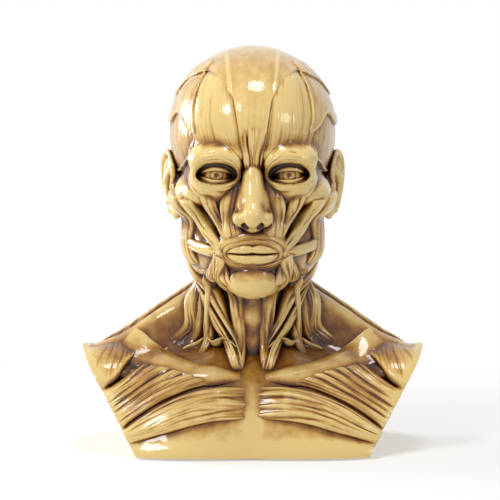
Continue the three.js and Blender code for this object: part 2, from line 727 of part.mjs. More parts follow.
const eyes = [1, -1];
eyes.forEach((sign) => {
  const side = sign > 0 ? 'left' : 'right';
  lay('eyeball_' + side, eyeballAt(sign, 0), eyeballAt(sign, seatGap), 'eye_resin');
});
const coreSeats = [headAt(seatGap), neckAt(seatGap), bustAt(seatGap)];
const offCores = (solid) => coreSeats.reduce((left, seat) => left.subtract(seat), solid);
const noseAt = (level) => ballSolid(noseField, noseMiddle, noseReach, noseSteps, level);
lay('nose', offCores(noseAt(0)), noseAt(seatGap));
const earAt = (level) => ballSolid(earField, earPlace, earHalfReach, earSteps, level);
lay('ear_left', offCores(earAt(0)), earAt(seatGap));
lay('ear_right', mirrored(offCores(earAt(0))), mirrored(earAt(seatGap)));
['upper_lip', 'lower_lip'].forEach((name) => {
  lay(name, offCores(sheetSolid(middleStripShares[name], 0)), sheetSolid(middleStripShares[name], seatGap));
});
Object.entries(pairedStripShares).forEach(([name, strip]) => {
  const made = offCores(sheetSolid(strip, 0));
  const grown = sheetSolid(strip, seatGap);
  lay(name + '_left', made, grown);
  lay(name + '_right', mirrored(made), mirrored(grown));
});
Object.entries(middleStripShares).forEach(([name, strip]) => {
  if (name.endsWith('_lip')) return;
  lay(name, offCores(sheetSolid(strip, 0)), sheetSolid(strip, seatGap));
});
const larynxAt = (level) => ballSolid(larynxField, larynxMiddle, larynxReach, larynxSteps, level);
lay('larynx', offCores(larynxAt(0)), larynxAt(seatGap));
const eyeSeats = eyes.map((sign) => eyeballAt(sign, seatGap));
const [headSeat, , bustSeat] = coreSeats;
addPiece('head_core', eyeSeats.reduce((left, seat) => left.subtract(seat), headAt(0)), 'recessed_resin');
addPiece('bust_core', sawn(bustAt(0)).subtract(headSeat), 'recessed_resin');
addPiece('neck_core', neckAt(0).subtract(headSeat).subtract(bustSeat), 'recessed_resin');

// The felt under the base, inset from the sawn edge.
const feltHalfWidth = footWidth / 2 - feltInset;
const feltHalfDepth = bustDepth / 2 - feltInset - feltCornerRadius;
const feltArcSegments = 6;
const feltOutline = new THREE.Shape();
const feltArc = (x, y, from) =>
  feltOutline.absarc(x, y + bustSetback, feltCornerRadius, from, from + Math.PI / 2, false);
const feltCornerX = feltHalfWidth - feltCornerRadius;
feltArc(feltCornerX, feltHalfDepth, 0);
feltArc(-feltCornerX, feltHalfDepth, Math.PI / 2);
feltArc(-feltCornerX, -feltHalfDepth, Math.PI);
feltArc(feltCornerX, -feltHalfDepth, (3 * Math.PI) / 2);
const felt = new THREE.ExtrudeGeometry(feltOutline, {
  depth: feltThickness,
  bevelEnabled: false,
  curveSegments: feltArcSegments,
});
addPiece('base_felt', solidOf(felt), 'felt');

export default bust;
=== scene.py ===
# Flayed head bust for the study of muscles, cast in resin at half life size.
# The cast is cream, washed dark in its hollows, rubbed bright on top and varnished.
# Shapes are worked out in millimetres and become metres when a mesh is made.
import math
import time

import bpy
import numpy as np
import openvdb
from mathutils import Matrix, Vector


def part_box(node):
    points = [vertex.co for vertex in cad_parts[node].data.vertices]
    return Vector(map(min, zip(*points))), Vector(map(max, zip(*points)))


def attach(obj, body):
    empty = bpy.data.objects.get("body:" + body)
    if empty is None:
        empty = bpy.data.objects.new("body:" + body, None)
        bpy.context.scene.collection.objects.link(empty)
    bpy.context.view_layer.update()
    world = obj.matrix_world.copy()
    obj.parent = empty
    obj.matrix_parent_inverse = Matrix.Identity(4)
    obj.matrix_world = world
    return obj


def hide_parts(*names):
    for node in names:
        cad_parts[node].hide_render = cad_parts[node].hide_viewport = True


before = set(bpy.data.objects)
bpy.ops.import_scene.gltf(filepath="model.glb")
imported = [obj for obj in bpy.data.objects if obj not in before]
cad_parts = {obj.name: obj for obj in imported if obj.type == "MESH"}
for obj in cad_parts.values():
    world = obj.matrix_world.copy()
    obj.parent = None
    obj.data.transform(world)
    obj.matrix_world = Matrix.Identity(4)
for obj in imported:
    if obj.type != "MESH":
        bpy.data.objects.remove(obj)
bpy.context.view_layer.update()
metresPerMm = 0.001
tiny = 1e-9
began = time.time()


def report(text):
    print(f"{time.time() - began:6.1f} s  {text}")


report("frame loaded")


# Small helpers


def deselectAll():
    if bpy.context.object and bpy.context.object.mode != "OBJECT":
        bpy.ops.object.mode_set(mode="OBJECT")
    bpy.ops.object.select_all(action="DESELECT")


def pick(piece):
    deselectAll()
    piece.select_set(True)
    bpy.context.view_layer.objects.active = piece


def linearColour(hexText):
    channels = [int(hexText[k:k + 2], 16) / 255 for k in (1, 3, 5)]
    linear = [c / 12.92 if c <= 0.04045 else ((c + 0.055) / 1.055) ** 2.4 for c in channels]
    return (*linear, 1.0)


def feed(tree, node, inputs=None, links=None):
    for key, value in (inputs or {}).items():
        node.inputs[key].default_value = value
    for key, socket in (links or {}).items():
        tree.links.new(socket, node.inputs[key])


def addNode(tree, kind, settings=None, inputs=None, links=None):
    node = tree.nodes.new(kind)
    for key, value in (settings or {}).items():
        setattr(node, key, value)
    feed(tree, node, inputs, links)
    return node


# Driving sizes of the bust, in millimetres, as on the solids of the frame

head = {"height": 108.5, "width": 77.5, "depth": 97.5, "blend": 9}
bust = {
    "chin": 73, "width": 157, "depth": 91, "setback": 8, "blend": 10, "join": 7,
    "footWidth": 103, "tipHeight": 47, "felt": 1,
}
neck = {"topRadius": 21.5, "footRadius": 24.5, "setback": 12, "recess": 2.4}
ridge = {"rootRadius": 12, "tipRadius": 9.5}
eye = {"radius": 6.2, "at": (0.205, -0.385, 0.5)}

headScale = np.array([head["width"], head["depth"], head["height"]])
bustScale = np.array([bust["width"], bust["depth"], bust["chin"]])
headOrigin = np.array([0, 0, bust["chin"]])
bustOrigin = np.array([0, bust["setback"], 0])


def headPoint(shares):
    return np.array(shares) * headScale + headOrigin


def bustPoint(shares):
    return np.array(shares) * bustScale + bustOrigin


# Forms as shares of the head's or bust's width, depth and height: place, radii, blend
headForms = [
    ((0, 0.06, 0.66), (0.47, 0.44, 0.345), 1),
    ((0, -0.15, 0.69), (0.4, 0.335, 0.26), 1),
    ((0, -0.17, 0.4), (0.36, 0.27, 0.28), 1),
    ((0.16, -0.38, 0.57), (0.2, 0.1, 0.045), 0.6),
    ((0.29, -0.27, 0.42), (0.13, 0.14, 0.065), 1),
    ((0.39, -0.06, 0.41), (0.055, 0.2, 0.055), 1),
    ((0, -0.1, 0.19), (0.35, 0.31, 0.18), 1),
    ((0.29, -0.02, 0.22), (0.09, 0.13, 0.14), 1),
    ((0, -0.3, 0.215), (0.2, 0.17, 0.12), 0.8),
    ((0, -0.345, 0.065), (0.15, 0.1, 0.075), 0.8),
]
socketForms = [((0.205, -0.5, 0.5), (0.14, 0.115, 0.062), 0.7)]
cheekHollows = [
    ((0.32, -0.36, 0.29), (0.12, 0.13, 0.075), 0.5),
    ((0.19, -0.45, 0.12), (0.05, 0.07, 0.05), 0.3),
    ((0.15, -0.47, 0.36), (0.05, 0.05, 0.045), 0.3),
]
bustForms = [
    ((0, 0, -0.14), (0.56, 0.5, 0.84), 1),
    ((0.43, 0, 0.33), (0.17, 0.29, 0.29), 1),
    ((0.25, 0.3, 0.15), (0.2, 0.17, 0.35), 1),
    ((0.2, -0.25, 0.05), (0.22, 0.2, 0.28), 1),
    ((0.15, -0.36, 0.02), (0.24, 0.15, 0.13), 0.5),
]
bustHollows = [
    ((0.25, -0.2, 0.8), (0.15, 0.19, 0.22), 0.6),
    ((0.345, -0.34, 0.51), (0.03, 0.11, 0.055), 0.3),
    ((0.385, -0.3, 0.44), (0.03, 0.09, 0.045), 0.3),
]
neckTop = headPoint((0, 0.08, 0.28))
neckFoot = bustPoint((0, 0.07, 0.55))
ridgeRoot = bustPoint((0, 0.12, 1.06))
ridgeTip = bustPoint((0.47, 0.02, 0.43))


def length(vectors):
    return np.sqrt(np.einsum("...k,...k", vectors, vectors))


def eggDistance(p, centre, radii):
    q = (p - centre) / radii
    near = length(q)
    return near * (near - 1) / np.maximum(length(q / radii), tiny)


def limbDistance(p, start, end, startRadius, endRadius):
    along = end - start
    share = np.clip((p - start) @ along / (along @ along), 0, 1)
    gap = p - start - share[..., None] * along
    return length(gap) - (startRadius + (endRadius - startRadius) * share)


def joined(a, b, blend):
    overlap = np.maximum(blend - np.abs(a - b), 0)
    return np.minimum(a, b) - overlap * overlap / blend / 4


def cutBy(a, b, blend):
    return -joined(-a, b, blend)


def folded(p):
    q = p.copy()
    q[..., 0] = np.abs(q[..., 0])
    return q


def placed(forms, point, scale, blend):
    return [(point(at), np.array(radii) * scale, share * blend) for at, radii, share in forms]


def sumOf(forms, p):
    total = eggDistance(p, forms[0][0], forms[0][1])
    for centre, radii, blend in forms[1:]:
        total = joined(total, eggDistance(p, centre, radii), blend)
    return total


def lessOf(distance, forms, p):
    for centre, radii, blend in forms:
        distance = cutBy(distance, eggDistance(p, centre, radii), blend)
    return distance


headEggs = placed(headForms, headPoint, headScale, head["blend"])
sockets = placed(socketForms, headPoint, headScale, head["blend"])
hollows = placed(cheekHollows, headPoint, headScale, head["blend"])
bustEggs = placed(bustForms, bustPoint, bustScale, bust["blend"])
pits = placed(bustHollows, bustPoint, bustScale, bust["blend"])
eyeCentre = headPoint(eye["at"])


def headSkin(p):
    q = folded(p)
    return lessOf(sumOf(headEggs, q), sockets, q)


def headCoreField(p):
    return lessOf(headSkin(p), hollows, folded(p))


def neckSkin(p):
    return limbDistance(p, neckTop, neckFoot, neck["topRadius"], neck["footRadius"])


def neckCoreField(p):
    return neckSkin(p) + neck["recess"]


def bustSkin(p):
    q = folded(p)
    yoke = limbDistance(q, ridgeRoot, ridgeTip, ridge["rootRadius"], ridge["tipRadius"])
    return joined(sumOf(bustEggs, q), yoke, bust["blend"])


def bustCoreField(p):
    return lessOf(bustSkin(p), pits, folded(p))


def skin(p):
    return joined(joined(headSkin(p), neckSkin(p), bust["join"]), bustSkin(p), bust["join"])


# The skin as it lies in the pits behind the collar bones
def carvedSkin(p):
    return joined(joined(headSkin(p), neckSkin(p), bust["join"]), bustCoreField(p), bust["join"])


# Ways onto the skin

march = {"steps": 60, "share": 0.75, "from": 300, "missed": 0.5, "overBust": 1.3}
probe = 0.15
corners = np.array([(1, -1, -1), (-1, -1, 1), (-1, 1, -1), (1, 1, 1)])
rearward = np.array([0, 1, 0])
downward = np.array([0, 0, -1])


def outwardOf(field, p):
    total = sum(corner * field(p + corner * probe)[..., None] for corner in corners)
    return total / np.maximum(length(total), tiny)[..., None]


def settled(field, p, rounds=4):
    for _ in range(rounds):
        p = p - outwardOf(field, p) * field(p)[..., None] * march["share"]
    return p


# A place is a way of looking and two numbers: a bearing in degrees or a share of
# the width, then a share of the height (or of the depth, seen from above).
def seen(way, *places):
    return [(way, a, b) for a, b in places]


def startOf(place):
    way, a, b = place
    onHead = b * head["height"] + bust["chin"]
    onBust = b * bust["chin"]
    if way in ("head", "neck"):
        turn = math.radians(a)
        out = np.array([math.sin(turn), -math.cos(turn), 0])
        axis = [0, 0, onHead] if way == "head" else [0, neck["setback"], onBust]
        return np.array(axis) + out * march["from"], -out
    if way == "face":
        return np.array([a * head["width"], -march["from"], onHead]), rearward
    if way == "chest":
        return np.array([a * bust["width"], -march["from"], onBust]), rearward
    if way == "back":
        return np.array([a * bust["width"], march["from"], onBust]), -rearward
    if way == "top":
        return bustPoint((a, b, march["overBust"])), downward
    return np.array([a * head["width"], b * head["depth"], march["from"]]), downward


def landed(places, field=skin):
    starts = [startOf(place) for place in places]
    p = np.array([start for start, _ in starts], dtype=float)
    ways = np.array([way for _, way in starts], dtype=float)
    for _ in range(march["steps"]):
        p += ways * field(p)[:, None] * march["share"]
    for place, off in zip(places, field(p)):
        if abs(off) > march["missed"]:
            print("missed the skin:", place)
    return p


stepsBetween = 24


# A smooth line through the points, evenly stepped, and each point's share of its length
def splineThrough(points, count):
    ends = [2 * points[0] - points[1], *points, 2 * points[-1] - points[-2]]
    runs = []
    t = np.linspace(0, 1, stepsBetween, endpoint=False)[:, None]
    for a, b, c, d in zip(ends, ends[1:], ends[2:], ends[3:]):
        gaps = [max(length(q - p) ** 0.5, tiny) for p, q in ((a, b), (b, c), (c, d))]
        startPull = (b - a) / gaps[0] - (c - a) / (gaps[0] + gaps[1]) + (c - b) / gaps[1]
        endPull = (c - b) / gaps[1] - (d - b) / (gaps[1] + gaps[2]) + (d - c) / gaps[2]
        runs.append(
            (2 * t**3 - 3 * t**2 + 1) * b + (t**3 - 2 * t**2 + t) * startPull * gaps[1]
            + (3 * t**2 - 2 * t**3) * c + (t**3 - t**2) * endPull * gaps[1]
        )
    dense = np.vstack([*runs, points[-1:]])
    run = np.concatenate([[0], np.cumsum(length(np.diff(dense, axis=0)))])
    places = np.linspace(0, run[-1], count)
    marks = run[::len(t)] / run[-1]
    return np.stack([np.interp(places, run, dense[:, k]) for k in range(3)], axis=1), marks


def spread(values, marks, count):
    return np.interp(np.linspace(0, 1, count), marks, values)


# Smooth random ground of one unit a step, the same on each run

noise = {"size": 64, "grainGain": 1.4, "lumpGain": 1.6, "seedShift": 3.7}
noiseShape = (noise["size"],) * 3
noiseTable = np.random.default_rng(7).uniform(0, 2 * math.pi, noiseShape)
noiseSlopes = np.random.default_rng(11).normal(size=(*noiseShape, 3))
noiseSlopes /= length(noiseSlopes)[..., None]


def eased(t):
    return t * t * t * (t * (t * 6 - 15) + 10)


# Ground over two measures, which closes on itself after loop steps where loop isn't 0
def grain(a, b, seed, loop=0):
    lowA, lowB = np.floor(a).astype(int), np.floor(b).astype(int)
    offA, offB = a - lowA, b - lowB
    mixA, mixB = eased(offA), eased(offB)
    total = 0
    for stepA, stepB in np.ndindex(2, 2):
        row = (lowA + stepA) % loop if loop else lowA + stepA
        angle = noiseTable[row % noise["size"], (lowB + stepB) % noise["size"], seed % noise["size"]]
        slope = np.cos(angle) * (offA - stepA) + np.sin(angle) * (offB - stepB)
        total = total + slope * (mixA if stepA else 1 - mixA) * (mixB if stepB else 1 - mixB)
    return total * noise["grainGain"]


def lumps(p, size, seed):
    q = p / size + seed * noise["seedShift"]
    low = np.floor(q).astype(int)
    off = q - low
    mix = eased(off)
    total = 0
    for step in np.ndindex(2, 2, 2):
        corner = (low + step) % noise["size"]
        slope = noiseSlopes[corner[..., 0], corner[..., 1], corner[..., 2]]
        weight = np.prod(np.where(np.array(step) == 1, mix, 1 - mix), axis=-1)
        total = total + np.einsum("...k,...k", slope, off - step) * weight
    return total * noise["lumpGain"]


# Meshes from numbers


def meshPiece(name, places, faces, sizes, wash=None):
    mesh = bpy.data.meshes.new(name)
    mesh.vertices.add(len(places))
    mesh.vertices.foreach_set("co", (places * metresPerMm).astype(np.float32).ravel())
    mesh.loops.add(len(faces))
    mesh.loops.foreach_set("vertex_index", faces.astype(np.int32))
    mesh.polygons.add(len(sizes))
    starts = np.concatenate([[0], np.cumsum(sizes)[:-1]])
    mesh.polygons.foreach_set("loop_start", starts.astype(np.int32))
    mesh.update(calc_edges=True)
    mesh.validate()
    if wash is not None:
        layer = mesh.attributes.new("groove", "FLOAT", "POINT")
        layer.data.foreach_set("value", wash.astype(np.float32))
    mesh.shade_smooth()
    piece = bpy.data.objects.new(name, mesh)
    bpy.context.scene.collection.objects.link(piece)
    return piece


def weave(fine, coarse, loop):
    place = np.linspace(0, coarse if loop else coarse - 1, fine, endpoint=not loop)
    low = np.minimum(np.floor(place).astype(int), coarse - (1 if loop else 2))
    t = place - low
    weights = (
        -0.5 * t + t**2 - 0.5 * t**3, 1 - 2.5 * t**2 + 1.5 * t**3,
        0.5 * t + 2 * t**2 - 1.5 * t**3, 0.5 * t**3 - 0.5 * t**2,
    )
    matrix = np.zeros((fine, coarse))
    for k, weight in enumerate(weights):
        index = low + k - 1
        index = index % coarse if loop else np.clip(index, 0, coarse - 1)
        np.add.at(matrix, (np.arange(fine), index), weight)
    return matrix


def refined(lattice, rows, columns, loop):
    across = weave(columns, lattice.shape[1], False)
    along = weave(rows, lattice.shape[0], loop)
    return np.einsum("ai,ijk,bj->abk", along, lattice, across, optimize=True)


underStep = 8


# Closes a relief with a coarse underside whose rim follows the fine edge
def closedRelief(name, top, under, out, groove, loop):
    rows, columns = top.shape[:2]
    topIndex = np.arange(rows * columns).reshape(rows, columns)
    rowMarks = list(range(0, rows, underStep)) if loop else sorted({*range(0, rows - 1, underStep), rows - 1})
    columnMarks = sorted({*range(0, columns - 1, underStep), columns - 1})
    used = np.zeros((rows, columns), bool)
    used[np.ix_(rowMarks, columnMarks)] = True
    used[:, [0, -1]] = True
    if not loop:
        used[[0, -1], :] = True
    underIndex = np.full((rows, columns), -1)
    underIndex[used] = rows * columns + np.arange(used.sum())
    nextRow = np.arange(1, rows + (1 if loop else 0)) % rows
    thisRow = np.arange(0, rows if loop else rows - 1)
    a, b = topIndex[thisRow], topIndex[nextRow]
    quads = [np.stack([a[:, :-1], b[:, :-1], b[:, 1:], a[:, 1:]], axis=-1).reshape(-1, 4)]
    for column, turned in ((0, False), (columns - 1, True)):
        wall = np.stack([
            topIndex[thisRow, column], underIndex[thisRow, column],
            underIndex[nextRow, column], topIndex[nextRow, column],
        ], axis=-1)
        quads.append(wall[:, ::-1] if turned else wall)
    if not loop:
        for row, turned in ((0, True), (rows - 1, False)):
            wall = np.stack([
                topIndex[row, :-1], underIndex[row, :-1], underIndex[row, 1:], topIndex[row, 1:],
            ], axis=-1)
            quads.append(wall[:, ::-1] if turned else wall)
    quads = np.vstack(quads)
    cells = []
    marksNext = [*rowMarks[1:], rows] if loop else rowMarks[1:]
    for rowA, rowB in zip(rowMarks, marksNext):
        for columnA, columnB in zip(columnMarks, columnMarks[1:]):
            lowRow = range(columnA, columnB + 1) if rowA == 0 and not loop else (columnA, columnB)
            highRow = range(columnA, columnB + 1) if rowB == rows - 1 and not loop else (columnA, columnB)
            nearSide = range(rowA, rowB + 1) if columnA == 0 else (rowA, rowB)
            farSide = range(rowA, rowB + 1) if columnB == columns - 1 else (rowA, rowB)
            walk = [underIndex[rowA, j] for j in lowRow]
            walk += [underIndex[i % rows, columnB] for i in farSide][1:]
            walk += [underIndex[rowB % rows, j] for j in highRow][::-1][1:]
            walk += [underIndex[i % rows, columnA] for i in nearSide][::-1][1:-1]
            cells.append(walk)
    places = np.vstack([top.reshape(-1, 3), under[used]])
    faces = np.concatenate([quads.ravel(), *[np.array(cell) for cell in cells]])
    sizes = np.array([4] * len(quads) + [len(cell) for cell in cells])
    wash = np.concatenate([groove.ravel(), np.ones(used.sum())])
    a, b, c = top[:-1, :-1], top[1:, :-1], top[1:, 1:]
    if np.einsum("ijk,ijk", np.cross(b - a, c - a), out[:-1, :-1]) < 0:
        ends = np.cumsum(sizes)
        faces = np.concatenate([faces[end - size:end][::-1] for end, size in zip(ends, sizes)])
    return meshPiece(name, places, faces, sizes, wash)


# Muscles as strips of relief on the skin, their fibres running from start to end

laying = {
    "lattice": 2.2, "leastRows": 8, "leastColumns": 4, "ringPoints": 48,  # the coarse places of a strip
    "stretch": 1.35, "fineRows": 12, "fineColumns": 8,  # its facets, longer than they are wide
    "under": 2.6, "sink": 2.2,  # how far its underside and its rim lie below its seat
}
stripBase = {
    "step": 0.42,  # size of its facets across
    "rim": 0.5,  # height at its sides, as thickness is in its middle
    "swell": 2.5, "dome": 0.6,  # how squarely and how fully it rises between
    "fade": (0, 0), "least": 0.25, "bow": 2,  # how far its ends thin out, to what share, how roundly
    "ease": (0, 0), "easeShare": 1,  # how far its near and far sides thin out, at most this share
    "round": 0.9,  # radius of its edge
    "lip": 0, "wave": 0,  # height of a raised edge and of soft unevenness
    "tear": {},  # depth and length of the waves of its torn edges
    "clefts": (), "ridges": (),  # splits and raised lines along it
    "inPit": False,  # laid on the skin as it is carved behind the collar bones
}
fibreBase = {
    "bundle": 3.2, "bundleWide": 0.48, "bundleDepth": 0.8,  # pitch, width and depth of the main cuts
    "fine": 1.25, "fineWide": 0.3, "fineDepth": 0.3,  # and of the finer ones between them
    "run": 22, "sway": 0.5,  # how long a cut runs before it changes, and how much it wanders
    "turned": False,  # fibres run across the strip
}
cutting = {"ripple": 0.4, "rippleSpan": 1.7, "swaySpan": 5, "patch": 5.37, "contrast": 1.2, "power": 1.3}
tearing = {"least": 0.8, "fine": 0.25, "fineSpan": 2.3}
relief = {
    "cutFrom": 0.3, "cutOver": 1.4, "cutAtEnds": 0.4,  # cuts fade out towards the edges and the ends
    "darkBundle": 1.6, "darkFine": 3.5, "fineShare": 0.55,  # how dark a cut of a given depth is washed
    "cleftSway": 0.03, "cleftWave": 14, "cleftEnd": 8, "ridgeIn": 1.2, "ridgeEnd": 14,
    "lipIn": 0.8, "lipWide": 0.6, "waveSize": 6, "easeLeast": 0.05,
}


# Coarse rows of places across a strip, their outward ways, and where its path's points fall
def latticeOf(spec):
    field = carvedSkin if spec["inPit"] else skin
    marks = None
    if "ring" in spec:
        turns = np.linspace(0, 2 * math.pi, laying["ringPoints"], endpoint=False)
        edges = []
        for (x, z), (reachX, reachZ) in spec["ring"]:
            places = [("face", x + reachX * math.cos(t), z + reachZ * math.sin(t)) for t in turns]
            edges.append(landed(places, field))
        near, far = edges
    elif "path" in spec:
        points = landed(spec["path"], field)
        count = max(laying["leastRows"], int(length(np.diff(points, axis=0)).sum() / laying["lattice"]))
        middle, marks = splineThrough(points, count)
        middle = settled(field, middle)
        tangent = np.gradient(middle, axis=0)
        side = np.cross(tangent, outwardOf(field, middle))
        side *= (spread(spec["widths"], marks, count) / 2 / np.maximum(length(side), tiny))[:, None]
        near, far = middle - side, middle + side
    else:
        points = [landed(spec["near"]), landed(spec["far"])]
        run = max(length(np.diff(p, axis=0)).sum() for p in points)
        count = max(laying["leastRows"], int(run / laying["lattice"]))
        near, far = (splineThrough(p, count)[0] for p in points)
    columns = max(laying["leastColumns"], int(length(far - near).max() / laying["lattice"]) + 1)
    share = np.linspace(0, 1, columns)[None, :, None]
    seat = settled(field, near[:, None] * (1 - share) + far[:, None] * share)
    return seat, outwardOf(field, seat), marks


def softLeast(distances, sharpness=1.6):
    return -np.log(sum(np.exp(-sharpness * np.clip(d, -4, 40)) for d in distances)) / sharpness


# Long cuts side by side, one a pitch, each fading in and out along its way
def cutsOf(walk, across, pitch, wide, sway, seed, loop=0):
    ripple = cutting["ripple"] * grain(walk * 0, across / pitch / cutting["rippleSpan"], seed + 3)
    warp = sway * grain(walk, across / pitch / cutting["swaySpan"] + 2.7, seed, loop)
    phase = across / pitch + ripple + warp
    low = np.floor(phase)
    offset = (phase - low) * pitch
    total = 0
    for index, gap in ((low, offset), (low + 1, pitch - offset)):
        patches = grain(walk, index * cutting["patch"] + 0.5, seed + 1, loop)
        strength = np.clip(0.5 + cutting["contrast"] * patches, 0, 1)
        total = total + strength * np.exp(-((gap / wide) ** cutting["power"]))
    return np.clip(total, 0, 1)


# Cuts between bundles of fibres, and finer ones between fibres
def fibreCuts(fibre, seed, walk, side, loopAt):
    bundles = cutsOf(walk, side, fibre["bundle"], fibre["bundleWide"], fibre["sway"], seed, loopAt)
    fine = cutsOf(walk * 2, side, fibre["fine"], fibre["fineWide"], fibre["sway"] * 2, seed + 20, loopAt * 2)
    return bundles, fine


# The distance in from an edge, less where the edge is torn into waves
def torn(distance, tear, walk, row, seed):
    if not tear:
        return distance
    depth, wave = tear
    ripple = grain(walk / wave, walk * 0 + row, seed + 5)
    ripple = ripple + tearing["fine"] * grain(walk / wave * tearing["fineSpan"], walk * 0 + row, seed + 6)
    return distance - depth * (tearing["least"] + ripple)


# From the least share at an edge to the whole where the ramp ends
def thinned(distance, ramp, least, bow):
    return least + (1 - least) * (1 - (1 - np.clip(distance / ramp, 0, 1)) ** bow)


# How high each place of a strip stands off its seat, and how dark its cuts are
def reliefOf(spec, marks, seed, seat):
    loop = "ring" in spec
    rows, columns = seat.shape[:2]
    width = length(np.diff(seat, axis=1)).sum(axis=1)[:, None]
    run = length(np.diff(seat, axis=0)).sum(axis=0).mean()
    u = np.linspace(0, 1, rows, endpoint=not loop)[:, None] * np.ones((1, columns))
    v = np.linspace(0, 1, columns)[None, :] * np.ones((rows, 1))
    along, across = u * run, v * width
    fibre = {**fibreBase, **spec.get("fibre", {})}
    even = v * float(np.median(width))
    way, side = (even, along) if fibre["turned"] else (along, even)
    loopAt = max(3, round(run / fibre["run"])) if loop else 0
    bundleCut, fineCut = fibreCuts(fibre, seed, u * loopAt if loop else way / fibre["run"], side, loopAt)
    edges = (
        ("near", across, along), ("far", width - across, along),
        ("start", along, across), ("end", run - along, across),
    )
    insets = []
    for row, (edge, off, walk) in enumerate(edges):  # each edge is torn along its own row of the ground
        insets.append(torn(off, spec["tear"].get(edge), walk, row + 0.3, seed))
    inward = softLeast(insets[:2] if loop else insets)
    # Muscles thin out towards tendons at their ends
    fade = np.ones_like(u)
    leasts = spec["least"] if isinstance(spec["least"], tuple) else (spec["least"],) * 2
    for ramp, least, distance in zip(spec["fade"], leasts, insets[2:]):
        if ramp:
            fade = fade * thinned(distance, ramp, least, spec["bow"])
    swell = np.maximum(1 - np.abs(2 * v - 1) ** spec["swell"], 0) ** spec["dome"]
    height = (spec["rim"] + (spec["thickness"] - spec["rim"]) * swell) * fade
    for ease, distance in zip(spec["ease"], (across, width - across)):
        if ease:
            reach = np.minimum(ease, width * spec["easeShare"])
            height = height * thinned(distance, reach, relief["easeLeast"], spec["bow"])
    inner = np.clip((inward - relief["cutFrom"]) / relief["cutOver"], 0, 1)
    kept = relief["cutAtEnds"] + (1 - relief["cutAtEnds"]) * fade
    height = height - (fibre["bundleDepth"] * bundleCut * kept + fibre["fineDepth"] * fineCut) * inner
    dark = bundleCut * min(1, fibre["bundleDepth"] * relief["darkBundle"])
    dark = dark + relief["fineShare"] * fineCut * min(1, fibre["fineDepth"] * relief["darkFine"])
    groove = np.clip(dark, 0, 1) * inner
    for startAt, endAt, depth, wide in spec["clefts"]:
        sway = relief["cleftSway"] * grain(along / relief["cleftWave"], v * 0 + startAt * 9, seed + 8)
        gap = np.abs(v - (startAt + (endAt - startAt) * u + sway)) * width
        ends = np.clip(np.minimum(along, run - along) / relief["cleftEnd"], 0, 1)
        cut = np.exp(-((gap / wide) ** 2)) * ends
        height = height - depth * cut
        groove = np.maximum(groove, cut)
    for away, rise, wide, reach in spec["ridges"]:
        gap = np.abs(np.abs(v - 0.5) * width - np.minimum(away, width / 2 - relief["ridgeIn"]))
        ends = np.clip((reach - along) / relief["ridgeEnd"], 0, 1)
        height = height + rise * np.exp(-((gap / wide) ** 2)) * ends
    if spec["lip"]:
        height = height + spec["lip"] * np.exp(-(((inward - relief["lipIn"]) / relief["lipWide"]) ** 2))
    if "lift" in spec:
        height = height + spread(spec["lift"], marks, rows)[:, None]
    if spec["wave"]:
        waves = grain(along / relief["waveSize"], across / relief["waveSize"], seed + 9)
        height = height + spec["wave"] * waves
    dive = 1 - np.sqrt(1 - (1 - np.clip(inward / spec["round"], 0, 1)) ** 2)
    return height - dive * (height + laying["sink"]), groove


def buildStrip(name, spec, laid, seed, sign=1):
    loop = "ring" in spec
    lattice, outward, marks = laid
    run = length(np.diff(lattice, axis=0)).sum(axis=0).max()
    width = length(np.diff(lattice, axis=1)).sum(axis=1).max()
    rows = max(laying["fineRows"], int(run / (spec["step"] * laying["stretch"])))
    columns = max(laying["fineColumns"], int(width / spec["step"]))
    if loop:
        rows += (-rows) % underStep
    seat = refined(lattice, rows, columns, loop)
    out = refined(outward, rows, columns, loop)
    out /= length(out)[..., None]
    height, groove = reliefOf(spec, marks, seed, seat)
    top = seat + out * height[..., None]
    under = seat - out * laying["under"]
    if "lift" in spec:
        under = under + out * spread(spec["lift"], marks, rows)[:, None, None]
    flip = np.array([sign, 1, 1])
    return closedRelief(name, top * flip, under * flip, out * flip, groove, loop)


